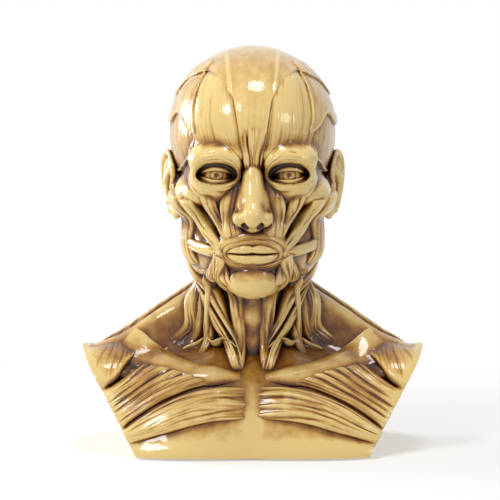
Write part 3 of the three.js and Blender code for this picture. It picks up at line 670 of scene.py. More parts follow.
# Paired strips, drawn on the left side and mirrored with their own random cuts
slimFibre = {
    "bundle": 2.2, "bundleDepth": 0.55, "bundleWide": 0.36, "fine": 0.95, "fineDepth": 0.22, "run": 14,
}
smooth = {"bundleDepth": 0.05, "fineDepth": 0.03}
slim = {"rim": 0.3, "step": 0.3, "fibre": slimFibre}
strand = {
    "thickness": 3.2, "rim": 0.2, "fade": (4, 16), "least": (0.05, -0.15), "bow": 1.5, "step": 0.38,
    "fibre": {"bundle": 2.4, "bundleDepth": 0.6, "bundleWide": 0.4}, "inPit": True, "node": "scalene",
}
sheer = {
    "round": 0.6, "fibre": {"bundle": 3, "bundleDepth": 0.14, "fine": 1.1, "fineDepth": 0.16, "turned": True},
}
pairs = {
    "jugular_vein": {
        "path": seen("neck", (47, 1.1), (48, 0.95), (51, 0.8), (57, 0.62)),
        "widths": [2.2, 4.2, 3, 1.0], "lift": [1.6, 3.2, 3, 0], "thickness": 2, "rim": 0.2, "round": 1.2,
        "fade": (0, 8), "least": -0.1, "fibre": smooth, "step": 0.3, "inPit": True,
    },
    "omohyoid": {
        "path": seen("neck", (14, 0.62), (28, 0.7), (42, 0.66), (56, 0.69), (70, 0.63)),
        "widths": [1.6, 1.8, 1.7, 1.6, 1.2], "lift": [3.5, 5.2, 3.2, 1.6, 0.3], "thickness": 1.3, "rim": 0.2,
        "round": 0.7, "fibre": smooth, "step": 0.2,
    },
    "sternocleidomastoid": {
        "path": seen("head", (112, 0.38)) + seen("neck", (84, 1.2), (54, 0.97), (30, 0.76), (11, 0.52)),
        "widths": [18, 17.5, 13.5, 9.5, 6.5], "thickness": 4.4, "round": 1.2, "dome": 0.8,
        "fade": (0, 9), "least": -0.06, "fibre": {"bundle": 2.8}, "clefts": [(0.5, 0.66, 1.8, 0.6)],
    },
    "clavicle": {
        "path": seen(
            "chest", (0.03, 0.49), (0.11, 0.49), (0.18, 0.502), (0.24, 0.528), (0.29, 0.565), (0.34, 0.618),
            (0.39, 0.67)),
        "widths": [5, 12, 14, 15.5, 17, 19, 21], "thickness": 3, "rim": 0, "swell": 2, "dome": 1,
        "fade": (13, 26), "least": (-0.05, -0.12), "bow": 1.6, "round": 0.8, "fibre": smooth, "wave": 0.2,
    },
    "frontalis": {
        "near": seen("face", (0.05, 0.565), (0.07, 0.68), (0.1, 0.8), (0.11, 0.95)),
        "far": seen("face", (0.33, 0.55), (0.335, 0.68), (0.32, 0.8), (0.22, 0.95)),
        "thickness": 2.2, "rim": 1.4, "dome": 0.4, "fade": (0, 18), "least": -0.05, "bow": 1.3,
        "fibre": {"bundle": 4.6, "bundleDepth": 0.16, "fine": 1.4, "fineDepth": 0.12, "run": 38},
    },
    "temporal_fascia": {
        "near": seen(
            "head", (31, 0.655), (40, 0.68), (49, 0.72), (58, 0.74), (69, 0.715), (80, 0.69), (94, 0.695),
            (108, 0.725), (124, 0.7)),
        "far": seen(
            "head", (42, 0.9), (49, 0.91), (56, 0.92), (64, 0.925), (74, 0.925), (85, 0.925), (98, 0.92),
            (112, 0.91), (128, 0.89)),
        "thickness": 2.3, "rim": 2.1, "lip": 0.6, **sheer,
        "tear": {"near": (0.8, 15), "start": (0.4, 12), "end": (1, 9)},
    },
    "temporalis": {
        "near": seen("head", (38, 0.575), (52, 0.54), (68, 0.505), (82, 0.495), (98, 0.525), (120, 0.585)),
        "far": seen("head", (33, 0.67), (52, 0.77), (68, 0.78), (86, 0.78), (104, 0.75), (126, 0.74)),
        "thickness": 1.5, "rim": 1.3, "lip": 0.5, **sheer, "tear": {"near": (0.8, 15), "start": (0.4, 12)},
    },
    "temporal_fascia_fold": {
        "near": seen(
            "head", (41, 0.91), (49, 0.895), (57, 0.883), (68, 0.872), (79, 0.85), (91, 0.81), (106, 0.8),
            (124, 0.83)),
        "far": seen(
            "head", (36, 0.95), (45, 0.96), (54, 0.968), (65, 0.97), (78, 0.97), (92, 0.97), (110, 0.965),
            (128, 0.94)),
        "thickness": 2.9, "rim": 2.7, "lip": 0.5, **sheer, "node": "temporal_fascia",
        "ease": (0, 8), "fade": (6, 8), "least": 0.1, "tear": {"near": (1, 15)},
    },
    "occipitalis": {
        "near": seen("head", (128, 0.36), (146, 0.34), (162, 0.34), (179, 0.36)),
        "far": seen("head", (128, 0.66), (146, 0.68), (162, 0.68), (179, 0.67)),
        "thickness": 2, "fibre": {"turned": True}, "fade": (6, 0), "ease": (6, 4),
    },
    "zygomaticus_major": {
        "path": seen("face", (0.38, 0.4), (0.29, 0.3), (0.17, 0.2)),
        "widths": [9, 6.5, 6], "thickness": 2.2, **slim,
    },
    "zygomaticus_minor": {
        "path": seen("face", (0.27, 0.43), (0.2, 0.33), (0.13, 0.232)),
        "widths": [8, 6, 5.5], "thickness": 1.7, **slim,
    },
    "levator_labii": {
        "path": seen("face", (0.085, 0.48), (0.115, 0.38), (0.105, 0.225)),
        "widths": [7, 12, 9], "thickness": 2.7, "rim": 1.2, "step": 0.3, "fade": (0, 7), "least": 0.1,
        "fibre": {**slimFibre, "bundleDepth": 0.4},
    },
    "risorius": {
        "path": seen("head", (66, 0.215)) + seen("face", (0.32, 0.2), (0.16, 0.186)),
        "widths": [7, 5.5, 6], "thickness": 2.2, "fade": (6, 0), "least": 0.1, **slim,
    },
    "depressor_anguli": {
        "near": seen("face", (0.15, 0.195), (0.135, 0.115), (0.11, 0.05)),
        "far": seen("face", (0.2, 0.19), (0.25, 0.12), (0.27, 0.05)),
        "thickness": 2.4, "step": 0.3, "fade": (0, 6), "least": 0.1,
        "fibre": {**slimFibre, "bundleDepth": 0.6},
    },
    "masseter": {
        "near": seen("head", (49, 0.41), (52, 0.25), (49, 0.12)),
        "far": seen("head", (86, 0.44), (84, 0.25), (76, 0.12)),
        "thickness": 2.8, "fade": (0, 7), "least": 0.1, "fibre": {"bundle": 2.8, "bundleDepth": 0.55},
    },
    "sternohyoid": {
        "path": seen("neck", (15, 1.26), (17, 1.02), (12, 0.54)), "widths": [8, 8, 6.5],
        "thickness": 3, "fade": (0, 7), "least": -0.06, "fibre": {"bundle": 2.4, "bundleDepth": 0.6},
    },
    "scalene": {
        "path": seen("neck", (70, 1.12), (77, 0.9), (76, 0.75)) + seen("top", (0.228, -0.04)),
        "widths": [6, 8, 7, 5], **strand,
    },
    "scalene_front": {
        "path": seen("neck", (50, 1.0), (55, 0.78), (53, 0.6)),
        "widths": [6, 7, 4], **strand,
    },
    "scalene_middle": {
        "path": seen("neck", (60, 1.06), (68, 0.85)) + seen("top", (0.208, -0.07)),
        "widths": [6, 7.5, 5], **strand,
    },
    "scalene_rear": {
        "path": seen("neck", (79, 1.12), (79, 0.92), (79, 0.76)) + seen("top", (0.243, -0.035)),
        "widths": [5, 7, 7, 4.5], **strand,
    },
    "trapezius": {
        "near": [
            *seen("head", (179, 0.42)), *seen("neck", (179, 1.2)),
            *seen("back", (0.003, 0.95), (0.002, 0.6), (0.002, 0.12)),
        ],
        "far": [
            *seen("head", (138, 0.38)), *seen("neck", (114, 1.25)), *seen("top", (0.2, 0.11), (0.34, 0.06)),
            *seen("top", (0.45, 0.07)), *seen("back", (0.42, 0.46), (0.2, 0.26), (0.03, 0.08)),
        ],
        "thickness": 3, "step": 0.55, "ease": (0, 5),
        "fibre": {
            "bundle": 4.5, "bundleDepth": 0.7, "bundleWide": 0.6, "fine": 1.7, "fineWide": 0.4,
            "run": 30, "turned": True,
        },
    },
    "deltoid": {
        "near": [
            *seen("chest", (0.335, 0.63), (0.4, 0.665)), *seen("top", (0.46, -0.04), (0.46, 0.1)),
            *seen("back", (0.43, 0.46)),
        ],
        "far": [
            *seen("chest", (0.35, 0.56), (0.41, 0.425), (0.5, 0.35)), *seen("back", (0.5, 0.3), (0.42, 0.2)),
        ],
        "thickness": 2.8, "rim": 0.3, "ease": (13, 4),
        "fibre": {"bundle": 3.6, "bundleDepth": 0.2, "fineDepth": 0.12, "turned": True, "run": 16},
    },
    "pectoralis_clavicular": {
        "near": seen("chest", (0.31, 0.57), (0.345, 0.515), (0.385, 0.455), (0.44, 0.385)),
        "far": seen(
            "chest", (0.045, 0.47), (0.1, 0.445), (0.17, 0.41), (0.255, 0.335), (0.32, 0.25), (0.39, 0.13)),
        "thickness": 3.2, "fade": (9, 0), "least": -0.08, "ease": (3, 0), "bow": 1.5,
        "fibre": {"bundle": 4, "bundleDepth": 0.6, "run": 30},
    },
    "pectoralis_sternal": {
        "near": seen(
            "chest", (0.002, 0.435), (0.1, 0.425), (0.17, 0.395), (0.255, 0.32), (0.32, 0.235),
            (0.39, 0.115)),
        "far": seen(
            "chest", (0.002, 0.245), (0.11, 0.225), (0.17, 0.2), (0.235, 0.16), (0.3, 0.12), (0.37, 0.07)),
        "thickness": 3.2, "fade": (13, 0), "least": -0.15, "bow": 1.3, "tear": {"start": (1.6, 2.4)},
        "fibre": {"bundle": 2.8, "bundleDepth": 0.5, "run": 30},
    },
    "infraspinatus": {
        "near": seen("back", (0.05, 0.2), (0.22, 0.32), (0.42, 0.52)),
        "far": seen("back", (0.08, 0.04), (0.25, 0.05), (0.42, 0.2)),
        "thickness": 2.6, "fibre": {"bundle": 4, "bundleDepth": 0.7},
    },
}
middles = {
    "orbicularis_oris": {
        "ring": [((0, 0.184), (0.12, 0.018)), ((0, 0.2), (0.22, 0.102))],
        "thickness": 1.9, "rim": 0.15, "step": 0.3, "dome": 0.8, "round": 0.6, "ease": (0, 6),
        "fibre": {**slimFibre, "bundle": 2, "bundleDepth": 0.4, "fine": 0.9, "fineDepth": 0.2, "sway": 0.3},
    },
    "procerus": {
        "near": seen("face", (-0.03, 0.5), (-0.065, 0.575), (-0.085, 0.66), (-0.1, 0.78)),
        "far": seen("face", (0.03, 0.5), (0.065, 0.575), (0.085, 0.66), (0.1, 0.78)),
        "thickness": 3.2, "rim": 1.2, "step": 0.3, "fade": (0, 20),
        "fibre": {"bundle": 2.1, "bundleDepth": 1.2, "bundleWide": 0.42, "fine": 1, "run": 30, "sway": 0.25},
    },
    "galea": {
        "path": [
            *seen("face", (0, 0.6), (0, 0.68), (0, 0.8), (0, 0.92)), *seen("crown", (0, -0.1), (0, 0.2)),
            *seen("head", (180, 0.85), (180, 0.7), (180, 0.62)),
        ],
        "widths": [8, 14, 19, 44, 66, 75, 74, 66, 44], "thickness": 2.4, "rim": 1.3, "round": 1, "dome": 0.35,
        "step": 0.6, "ease": (9, 9), "easeShare": 0.12, "bow": 1.5, "fade": (8, 16), "least": (0.08, -0.08),
        "ridges": [(9.3, 0.4, 0.8, 66)], "tear": {"end": (1.5, 12)},
        "fibre": {"bundle": 9, "bundleDepth": 0.05, "fine": 2.2, "fineDepth": 0.03, "run": 30},
    },
}
firstSeeds = {"left": 10, "right": 310, "middle": 610, "apart": 7}

pieces = {}
nodeOf = {}
for order, (name, settings) in enumerate(pairs.items()):
    spec = {**stripBase, **settings}
    laid = latticeOf(spec)
    for side, sign in (("left", 1), ("right", -1)):
        seed = firstSeeds[side] + order * firstSeeds["apart"]
        pieces[f"{name}_{side}"] = buildStrip(f"{name}_{side}_form", spec, laid, seed, sign)
        nodeOf[f"{name}_{side}"] = f"{spec.get('node', name)}_{side}"
for order, (name, settings) in enumerate(middles.items()):
    spec = {**stripBase, **settings}
    seed = firstSeeds["middle"] + order * firstSeeds["apart"]
    pieces[name] = buildStrip(f"{name}_form", spec, latticeOf(spec), seed)
report(f"muscles laid: {len(pieces)}")


# Rounded forms, cast from a field on a fine lattice


def castForm(name, field, low, high, cell, finish=None, sign=1):
    def boxed(p):
        return np.maximum(field(p), np.maximum(low - p, p - high).max(axis=-1))

    axes = [np.arange(low[k] - 2 * cell, high[k] + 2 * cell, cell) for k in range(3)]
    ground = np.stack(np.meshgrid(*axes, indexing="ij"), axis=-1)
    distance = boxed(ground).astype(np.float32)
    grid = openvdb.FloatGrid(3 * cell)
    grid.copyFromArray(np.clip(distance, -3 * cell, 3 * cell))
    grid.transform = openvdb.createLinearTransform(voxelSize=cell)
    places, quads = grid.convertToQuads(isovalue=0)
    places = places.astype(float) + np.array([axis[0] for axis in axes])
    places = settled(boxed, places, 2)
    groove = np.zeros(len(places))
    if finish:
        rise, groove = finish(places)
        places = places + outwardOf(boxed, places) * rise[:, None]
    places[:, 0] *= sign
    a, b, c = (places[quads[:, k]] for k in range(3))
    if np.einsum("ij,ij->i", a, np.cross(b, c)).sum() < 0:
        quads = quads[:, ::-1]
    pieces[name] = meshPiece(f"{name}_form", places, quads.ravel(), np.full(len(quads), 4), groove)


def castBothSides(name, field, low, high, cell, finish):
    castForm(f"{name}_left", field, low, high, cell, finish)
    castForm(f"{name}_right", field, low, high, cell, finish, -1)


# Soft bumps, each a size and a height
def lumpy(bumps, seed):
    return lambda p: (sum(lumps(p, size, seed) * rise for size, rise in bumps), np.zeros(len(p)))


# What of one form lies inside another
def within(a, b, blend):
    return cutBy(a, -b, blend)


def chainDistance(p, points, radii, blend=0.6):
    points = [np.array(point, dtype=float) for point in points]
    total = None
    for a, b, radiusA, radiusB in zip(points, points[1:], radii, radii[1:]):
        d = limbDistance(p, a, b, radiusA, radiusB)
        total = d if total is None else joined(total, d, blend)
    return total


cores = {
    "head_core": {
        "field": headCoreField, "cell": 0.75, "bumps": [(7, 0.2), (2.6, 0.06)], "seed": 3,
        "low": headPoint((-0.56, -0.56, -0.06)), "high": headPoint((0.56, 0.56, 1.06)),
    },
    "neck_core": {
        "field": neckCoreField, "cell": 0.7, "bumps": [(5, 0.25), (2, 0.06)], "seed": 4,
        "low": np.array([-30, -25, 29]), "high": np.array([30, 45, 120]),
    },
    "bust_core": {
        "field": bustCoreField, "cell": 0.85, "bumps": [(9, 0.25), (3, 0.07)], "seed": 5,
        "low": bustPoint((-0.62, -0.62, -0.12)), "high": bustPoint((0.62, 0.62, 1.2)),
    },
}
for name, core in cores.items():
    castForm(name, core["field"], core["low"], core["high"], core["cell"], lumpy(core["bumps"], core["seed"]))
report("cores cast")

# The eyelids and the ring muscle round them, one form with an almond opening
lids = {
    "cell": 0.34, "thickness": 1.0, "blend": 5.5, "halfWidth": 7.2, "upper": 2.8, "lower": 1.8, "drop": 0.4,
    "tilt": 0.07, "corner": 2.4, "slant": 0.5, "slantReach": (-1, 3), "openingEdge": 0.5, "eyeGap": 0.06,
    "ringReach": (13.4, 15.2), "swell": 2.3, "brow": 1.2, "browFrom": 1, "browRun": 7, "ringFall": 13,
    "ringEdge": 2.2, "hollow": (8.4, 5.2, 3.7), "hollowShare": 1.4, "depth": 2.0, "backEdge": 0.3,
    "eyeEdge": 0.1, "front": 2, "reachBack": 16, "crestAt": 0.8, "crestBow": 0.85,
    "upperBow": 0.8, "upperSkew": 0.12, "lowerBow": 0.9, "lowerSkew": 0.1,
}
lidCuts = {
    "turns": 6, "rows": 9, "bundle": (2.2, 0.45, 0.35), "fine": (1.05, 0.3, 0.5), "depths": (0.6, 0.3),
    "darks": (0.8, 0.5), "clearIn": 0.15, "clearOut": 0.1,
}
lidFolds = {
    "halfWidth": 8.6, "upper": 1.9, "upperWide": 0.4, "lower": 2.6, "lowerWide": 0.6, "depths": (0.35, 0.15),
    "darks": (0.5, 0.3),
}
ringCentre = headPoint((0.213, -0.4, 0.51))


def lidEdges(p):
    dx = p[..., 0] - eyeCentre[0]
    dz = p[..., 2] - eyeCentre[2] - lids["tilt"] * dx + lids["drop"]
    s = np.clip(dx / lids["halfWidth"], -1, 1)
    upperEdge = lids["upper"] * (1 - s * s) ** lids["upperBow"] * (1 - lids["upperSkew"] * s)
    lowerEdge = -lids["lower"] * (1 - s * s) ** lids["lowerBow"] * (1 + lids["lowerSkew"] * s)
    return dx, dz, upperEdge, lowerEdge


def ringShare(p):
    across, up = lids["ringReach"]
    return np.hypot((p[..., 0] - ringCentre[0]) / across, (p[..., 2] - ringCentre[2]) / up)


# From 0 at the hollow of the eye to 1 at the outline of the ring
def ringAcross(p):
    across, above, below = lids["hollow"]
    dz = p[..., 2] - eyeCentre[2]
    hollow = np.hypot((p[..., 0] - eyeCentre[0]) / across, dz / np.where(dz > 0, above, below))
    past = np.maximum(hollow - 1, 0)
    return past / (past + np.maximum(1 - ringShare(p), 0) * lids["hollowShare"] + tiny)


def lidField(p):
    toEye = length(p - eyeCentre)
    offLid = toEye - eye["radius"] - lids["thickness"]
    closed = joined(skin(p), offLid, lids["blend"])
    share, across = ringShare(p), ringAcross(p)
    above = (p[..., 2] - eyeCentre[2] - lids["browFrom"]) / lids["browRun"]
    brow = lids["brow"] * across * eased(np.clip(above, 0, 1))
    swell = lids["swell"] * np.sin(math.pi * across ** lids["crestAt"]) ** lids["crestBow"]
    shape = within(closed - (swell + brow) * (share < 1), (share - 1) * lids["ringFall"], lids["ringEdge"])
    _, dz, upperEdge, lowerEdge = lidEdges(p)
    slant = lids["slant"] * np.clip(offLid, *lids["slantReach"])
    opening = np.maximum(dz - upperEdge, lowerEdge - dz) - slant
    opening = np.maximum(opening, toEye - eye["radius"] - lids["corner"])
    shape = cutBy(shape, opening, lids["openingEdge"])
    shape = cutBy(shape, closed + lids["depth"], lids["backEdge"])
    return cutBy(shape, toEye - (eye["radius"] + lids["eyeGap"]), lids["eyeEdge"])


# The sum of two patterns, each by its own share
def blended(shares, first, second):
    return shares[0] * first + shares[1] * second


def lidRelief(p):
    turn = np.arctan2(p[:, 2] - ringCentre[2], p[:, 0] - ringCentre[0]) / 2 / math.pi * lidCuts["turns"]
    across = ringAcross(p)
    bundles = cutsOf(turn, across * lidCuts["rows"], *lidCuts["bundle"], 41, lidCuts["turns"])
    fine = cutsOf(turn * 2, across * lidCuts["rows"], *lidCuts["fine"], 43, lidCuts["turns"] * 2)
    dx, dz, upperEdge, lowerEdge = lidEdges(p)
    taper = np.clip(1 - (dx / lidFolds["halfWidth"]) ** 2, 0, 1) * (p[:, 1] < eyeCentre[1] + lids["front"])
    upperFold = np.exp(-(((dz - upperEdge - lidFolds["upper"]) / lidFolds["upperWide"]) ** 2)) * taper
    lowerFold = np.exp(-(((lowerEdge - dz - lidFolds["lower"]) / lidFolds["lowerWide"]) ** 2)) * taper
    clear = np.clip(across / lidCuts["clearIn"], 0, 1)
    clear = clear * np.clip((1 - ringShare(p)) / lidCuts["clearOut"], 0, 1)
    rise = -blended(lidCuts["depths"], bundles, fine) * clear
    dark = blended(lidCuts["darks"], bundles, fine) * clear
    rise = rise - blended(lidFolds["depths"], upperFold, lowerFold)
    return rise, np.clip(dark + blended(lidFolds["darks"], upperFold, lowerFold), 0, 1)


lidReach = np.array([lids["ringReach"][0] + 1, lids["reachBack"], lids["ringReach"][1] + 1])
lidMiddle = np.array([ringCentre[0], eyeCentre[1] + lids["front"], ringCentre[2]])
castBothSides(
    "orbicularis_oculi", lidField, lidMiddle - lidReach, lidMiddle + lidReach, lids["cell"], lidRelief)
report("eyelids cast")

# The nose: a pyramid with a bridge, ball, wings and column, and two nostrils let in
nose = {
    "cell": 0.33, "low": np.array([-13, -61, 98]), "high": np.array([13, -32, 140]), "bumps": [(2.5, 0.06)],
    "eggs": [
        ((0, -0.431, 0.3694), (8.2, 9.5, 12)), ((0, -0.431, 0.4595), (5.0, 7.5, 13)),
        ((0, -0.548, 0.3405), (4.0, 4.2, 3.8)), ((0.075, -0.486, 0.328), (3.1, 4.8, 3.2)),
    ],
    "eggBlend": 3.2,
    "limbs": [
        ([(0, -0.4256, 0.5495), (0, -0.477, 0.4595), (0, -0.5415, 0.3586)], (2.6, 2.6, 3.2)),
        ([(0, -0.548, 0.3135), (0, -0.478, 0.2955)], (1.7, 2.0)),
    ],
    "limbBlend": 3.0,
    "crease": ((0.098, -0.515, 0.3604), (1.2, 3.4, 1.0)), "creaseEdge": 1.6,
    "nostril": ((0.044, -0.513, 0.2937), (1.8, 3.1, 2.2)), "nostrilEdge": 0.8,
}


def noseField(p):
    q = folded(p)

    def egg(form):
        return eggDistance(q, headPoint(form[0]), np.array(form[1]))

    total = egg(nose["eggs"][0])
    for form in nose["eggs"][1:]:
        total = joined(total, egg(form), nose["eggBlend"])
    for shares, radii in nose["limbs"]:
        points = [headPoint(at) for at in shares]
        total = joined(total, chainDistance(q, points, radii), nose["limbBlend"])
    total = cutBy(total, egg(nose["crease"]), nose["creaseEdge"])
    return cutBy(total, egg(nose["nostril"]), nose["nostrilEdge"])


castForm("nose", noseField, nose["low"], nose["high"], nose["cell"], lumpy(nose["bumps"], 6))

# The larynx and windpipe: four soft swellings, one under the other
larynxForms = [
    ((0, -0.165, 1.24), (0.065, 0.07, 0.05), 1),
    ((0, -0.145, 1.04), (0.056, 0.115, 0.2), 1),
    ((0, -0.13, 0.86), (0.058, 0.12, 0.16), 1),
    ((0, -0.11, 0.68), (0.058, 0.125, 0.2), 1),
]
larynx = {
    "cell": 0.4, "blend": 2.6, "bumps": [(2.5, 0.12)], "low": (-0.1, -0.28, 0.5), "high": (0.1, 0.06, 1.34),
}
larynxEggs = placed(larynxForms, bustPoint, bustScale, larynx["blend"])
castForm(
    "larynx", lambda p: sumOf(larynxEggs, p), bustPoint(larynx["low"]), bustPoint(larynx["high"]),
    larynx["cell"], lumpy(larynx["bumps"], 7))

# The ear, drawn as (outward, backward, up) from its middle
ear = {
    "cell": 0.36, "at": ("head", 96, 0.44), "stand": 3.5, "lean": -14, "flare": -24, "reach": (11, 14, 20),
    "bumps": [(2.5, 0.06)],
}
flare, lean = math.radians(ear["flare"]), math.radians(ear["lean"])
aboutUp = np.array([
    [math.cos(flare), -math.sin(flare), 0], [math.sin(flare), math.cos(flare), 0], [0, 0, 1],
])
aboutSide = np.array([
    [1, 0, 0], [0, math.cos(lean), -math.sin(lean)], [0, math.sin(lean), math.cos(lean)],
])
earTurn = aboutUp @ aboutSide
earPlace = landed([ear["at"]])[0] + np.array([ear["stand"], 0, 0])


# A line drawn smoothly through a few points, its radius running from first to last
def smoothLine(points, first, last, count, blend=0.3):
    return splineThrough(np.array(points, dtype=float), count)[0], np.linspace(first, last, count), blend


earEggs = {
    "plate": ((-1.2, 0.6, 2.6), (1.9, 8.2, 12.6)), "bowl": ((1.7, -0.2, -1), (3.2, 4.2, 6)),
    "flap": ((0.3, -5.4, -3.4), (1.7, 1.9, 2.8)), "lobe": ((-0.8, -1.6, -12), (2.0, 4.2, 4.2)),
}
earLines = {
    "root": ([(-4.2, -4.4, -12), (-4.2, -3.4, 8)], (3.4, 3.4)),
    "furrow": ([(1.2, 3.2, 11), (1.1, 5.9, 6), (1.1, 5.9, -1)], (1.1, 1.3, 0.9)),
    "rim": smoothLine([
        (0.2, -1.5, -1.5), (0.6, -5.2, 1.5), (0.8, -7, 6), (0.6, -5.6, 11.5), (0.2, -1.6, 15),
        (-0.2, 3.4, 14.6), (-0.4, 7.2, 10.6), (-0.4, 8.2, 5), (-0.3, 7.4, -1), (0, 5, -7), (0.2, 2.4, -11),
    ], 1.3, 1.6, 26),
    "fold": smoothLine([
        (-0.2, 1.2, 10.4), (0.3, 3.6, 6), (0.7, 4.2, 0.6), (0.7, 3, -4.6), (0.5, 0.4, -7.4),
    ], 0.9, 1.4, 9),
    "fork": ([(-0.3, -3.4, 8.6), (0.2, 1.6, 5.6), (0.5, 3.9, 2.6)], (0.8, 1, 1.1)),
}
earBuild = [
    ("root", joined, 2.4), ("bowl", cutBy, 1.2), ("furrow", cutBy, 0.8), ("rim", joined, 0.9),
    ("fold", joined, 1.1), ("fork", joined, 1), ("flap", joined, 1.2), ("lobe", joined, 2.2),
]


def earField(p):
    q = (p - earPlace) @ earTurn
    total = eggDistance(q, *earEggs["plate"])
    for part, meet, blend in earBuild:
        distance = eggDistance(q, *earEggs[part]) if part in earEggs else chainDistance(q, *earLines[part])
        total = meet(total, distance, blend)
    return total


earReach = np.array(ear["reach"])
castBothSides("ear", earField, earPlace - earReach, earPlace + earReach, ear["cell"], lumpy(ear["bumps"], 8))

# Lips: rounded bars on the mound of the mouth, parted along one shallow wave
mouth = {
    "cell": 0.3, "low": np.array([-14, -52, 84]), "high": np.array([14, -34, 102]), "line": 0.184,
    "wave": 0.35, "waveRun": 11.5, "waves": 1.3, "waveReach": 13, "gap": 0.04, "edge": 0.9, "points": 13,
    "sink": -0.2,
    "crease": (1.1, 0.25, 0.4), "creaseRun": 9, "creaseShift": 40, "creaseDepth": 0.05, "creaseDark": 0.1,
    "upper": {"x": (0, 3, 7, 11.2), "z": (0.2, 0.2035, 0.197, 0.1845), "radius": (1.8, 2.0, 1.7, 0.8)},
    "lower": {"x": (0, 3.6, 7.4, 10.8), "z": (0.166, 0.1665, 0.17, 0.181), "radius": (2.4, 2.3, 1.9, 0.8)},
}


def mouthLine(p):
    x = np.abs(p[..., 0])
    wave = mouth["wave"] * np.cos(x / mouth["waveRun"] * mouth["waves"] * 2 * math.pi)
    return headPoint((0, 0, mouth["line"]))[2] + wave * np.clip(1 - x / mouth["waveReach"], 0, 1)


def barOf(bar):
    places = [("face", x / head["width"], z) for x, z in zip(bar["x"], bar["z"])]
    points, marks = splineThrough(landed(places) + np.array([0, mouth["sink"], 0]), mouth["points"])
    return points, spread(bar["radius"], marks, mouth["points"])


# Fine creases up and down a lip
def creases(seed):
    def finish(p):
        across = p[:, 0] + mouth["creaseShift"]
        cuts = cutsOf(p[:, 2] / mouth["creaseRun"], across, *mouth["crease"], seed)
        return -mouth["creaseDepth"] * cuts, mouth["creaseDark"] * cuts
    return finish


for lip, up, seed in (("upper", 1, 31), ("lower", -1, 32)):
    points, radii = barOf(mouth[lip])

    def lipField(p):
        parting = (mouthLine(p) - p[..., 2]) * up + mouth["gap"]
        return within(chainDistance(folded(p), points, radii, 1), parting, mouth["edge"])

    castForm(f"{lip}_lip", lipField, mouth["low"], mouth["high"], mouth["cell"], creases(seed))

# The chin pad: a cushion laid on the chin inside an oval
chinPad = {
    "cell": 0.34, "low": np.array([-13, -52, 70]), "high": np.array([13, -26, 90]), "bumps": [(3, 0.12)],
    "at": (0, 0, 0.062), "reach": (12.4, 8.4), "proud": 0.2, "swell": 1.3, "depth": 2.0, "fall": 7,
    "edge": 2.4, "backEdge": 0.4,
}


def chinField(p):
    x, _, z = np.moveaxis(p - headPoint(chinPad["at"]), -1, 0)
    share = np.hypot(x / chinPad["reach"][0], z / chinPad["reach"][1])
    base = skin(p)
    over = base - chinPad["proud"] - chinPad["swell"] * np.clip(1 - share ** 2, 0, 1)
    shape = within(over, (share - 1) * chinPad["fall"], chinPad["edge"])
    return cutBy(shape, base + chinPad["depth"], chinPad["backEdge"])


castForm("mentalis", chinField, chinPad["low"], chinPad["high"], chinPad["cell"], lumpy(chinPad["bumps"], 9))

# Eyeballs: a sphere turned to the front, its iris let in and its pupil drilled
iris = {
    "radius": 3.0, "ring": 0.35, "sunk": 0.35, "flat": 0.12, "pupil": 1.25, "drilled": 0.8, "pupilEdge": 0.4,
    "ringDark": 0.9, "flatDark": 0.45, "pupilDark": 0.5,
}
for side, sign in (("left", 1), ("right", -1)):
    deselectAll()
    centre = eyeCentre * np.array([sign, 1, 1]) * metresPerMm
    bpy.ops.mesh.primitive_uv_sphere_add(
        segments=64, ring_count=48, radius=eye["radius"] * metresPerMm,
        location=centre, rotation=(math.radians(90), 0, 0))
    ball = bpy.context.object
    ball.name = f"eyeball_{side}_form"
    bpy.ops.object.transform_apply(location=True, rotation=True, scale=True)
    places = np.empty(len(ball.data.vertices) * 3)
    ball.data.vertices.foreach_get("co", places)
    places = places.reshape(-1, 3)
    fromAxis = np.hypot(places[:, 0] - centre[0], places[:, 2] - centre[2]) / metresPerMm
    front = places[:, 1] < centre[1]
    inIris = front & (fromAxis < iris["radius"])
    edge = np.exp(-((fromAxis - iris["radius"]) / iris["ring"]) ** 2)
    pupil = iris["drilled"] * np.clip((iris["pupil"] - fromAxis) / iris["pupilEdge"], 0, 1)
    depth = edge * iris["sunk"] + inIris * iris["flat"] + pupil
    places[:, 1] += np.where(front, depth, 0) * metresPerMm
    ball.data.vertices.foreach_set("co", places.ravel())
    ball.data.shade_smooth()
    layer = ball.data.attributes.new("groove", "FLOAT", "POINT")
    dark = edge * iris["ringDark"] + inIris * iris["flatDark"]
    dark = dark + (fromAxis < iris["pupil"]) * iris["pupilDark"]
    layer.data.foreach_set("value", np.clip(np.where(front, dark, 0), 0, 1).astype(np.float32))
    pieces[f"eyeball_{side}"] = ball
report("features cast")

# Saw the bust off along its two sides and level with the felt
saw = {
    "lean": (bust["width"] - bust["footWidth"]) / 2 / bust["tipHeight"], "inset": 0.15, "weld": 2e-5,
    "cuts": (
        "trapezius", "deltoid", "pectoralis_clavicular", "pectoralis_sternal", "infraspinatus", "clavicle",
    ),
}


def sawn(piece, inset):
    pick(piece)
    planes = []
    for sign in (1, -1):
        normal = Vector((sign, 0, -saw["lean"])).normalized()
        planes.append((Vector((sign * bust["footWidth"] / 2, 0, 0)) - normal * inset, normal))
    planes.append((Vector((0, 0, bust["felt"] + inset)), Vector((0, 0, -1))))
    for point, normal in planes:
        bpy.ops.object.mode_set(mode="EDIT")
        bpy.ops.mesh.select_all(action="SELECT")
        bpy.ops.mesh.bisect(
            plane_co=point * metresPerMm, plane_no=normal, use_fill=True, clear_outer=True,
            threshold=saw["weld"])
        bpy.ops.object.mode_set(mode="OBJECT")


sawn(pieces["bust_core"], 0)
for name in saw["cuts"]:
    for side in ("left", "right"):
        sawn(pieces[f"{name}_{side}"], saw["inset"])
pick(pieces["bust_core"])
bpy.ops.object.shade_smooth_by_angle(angle=math.radians(50))
report("sawn off")

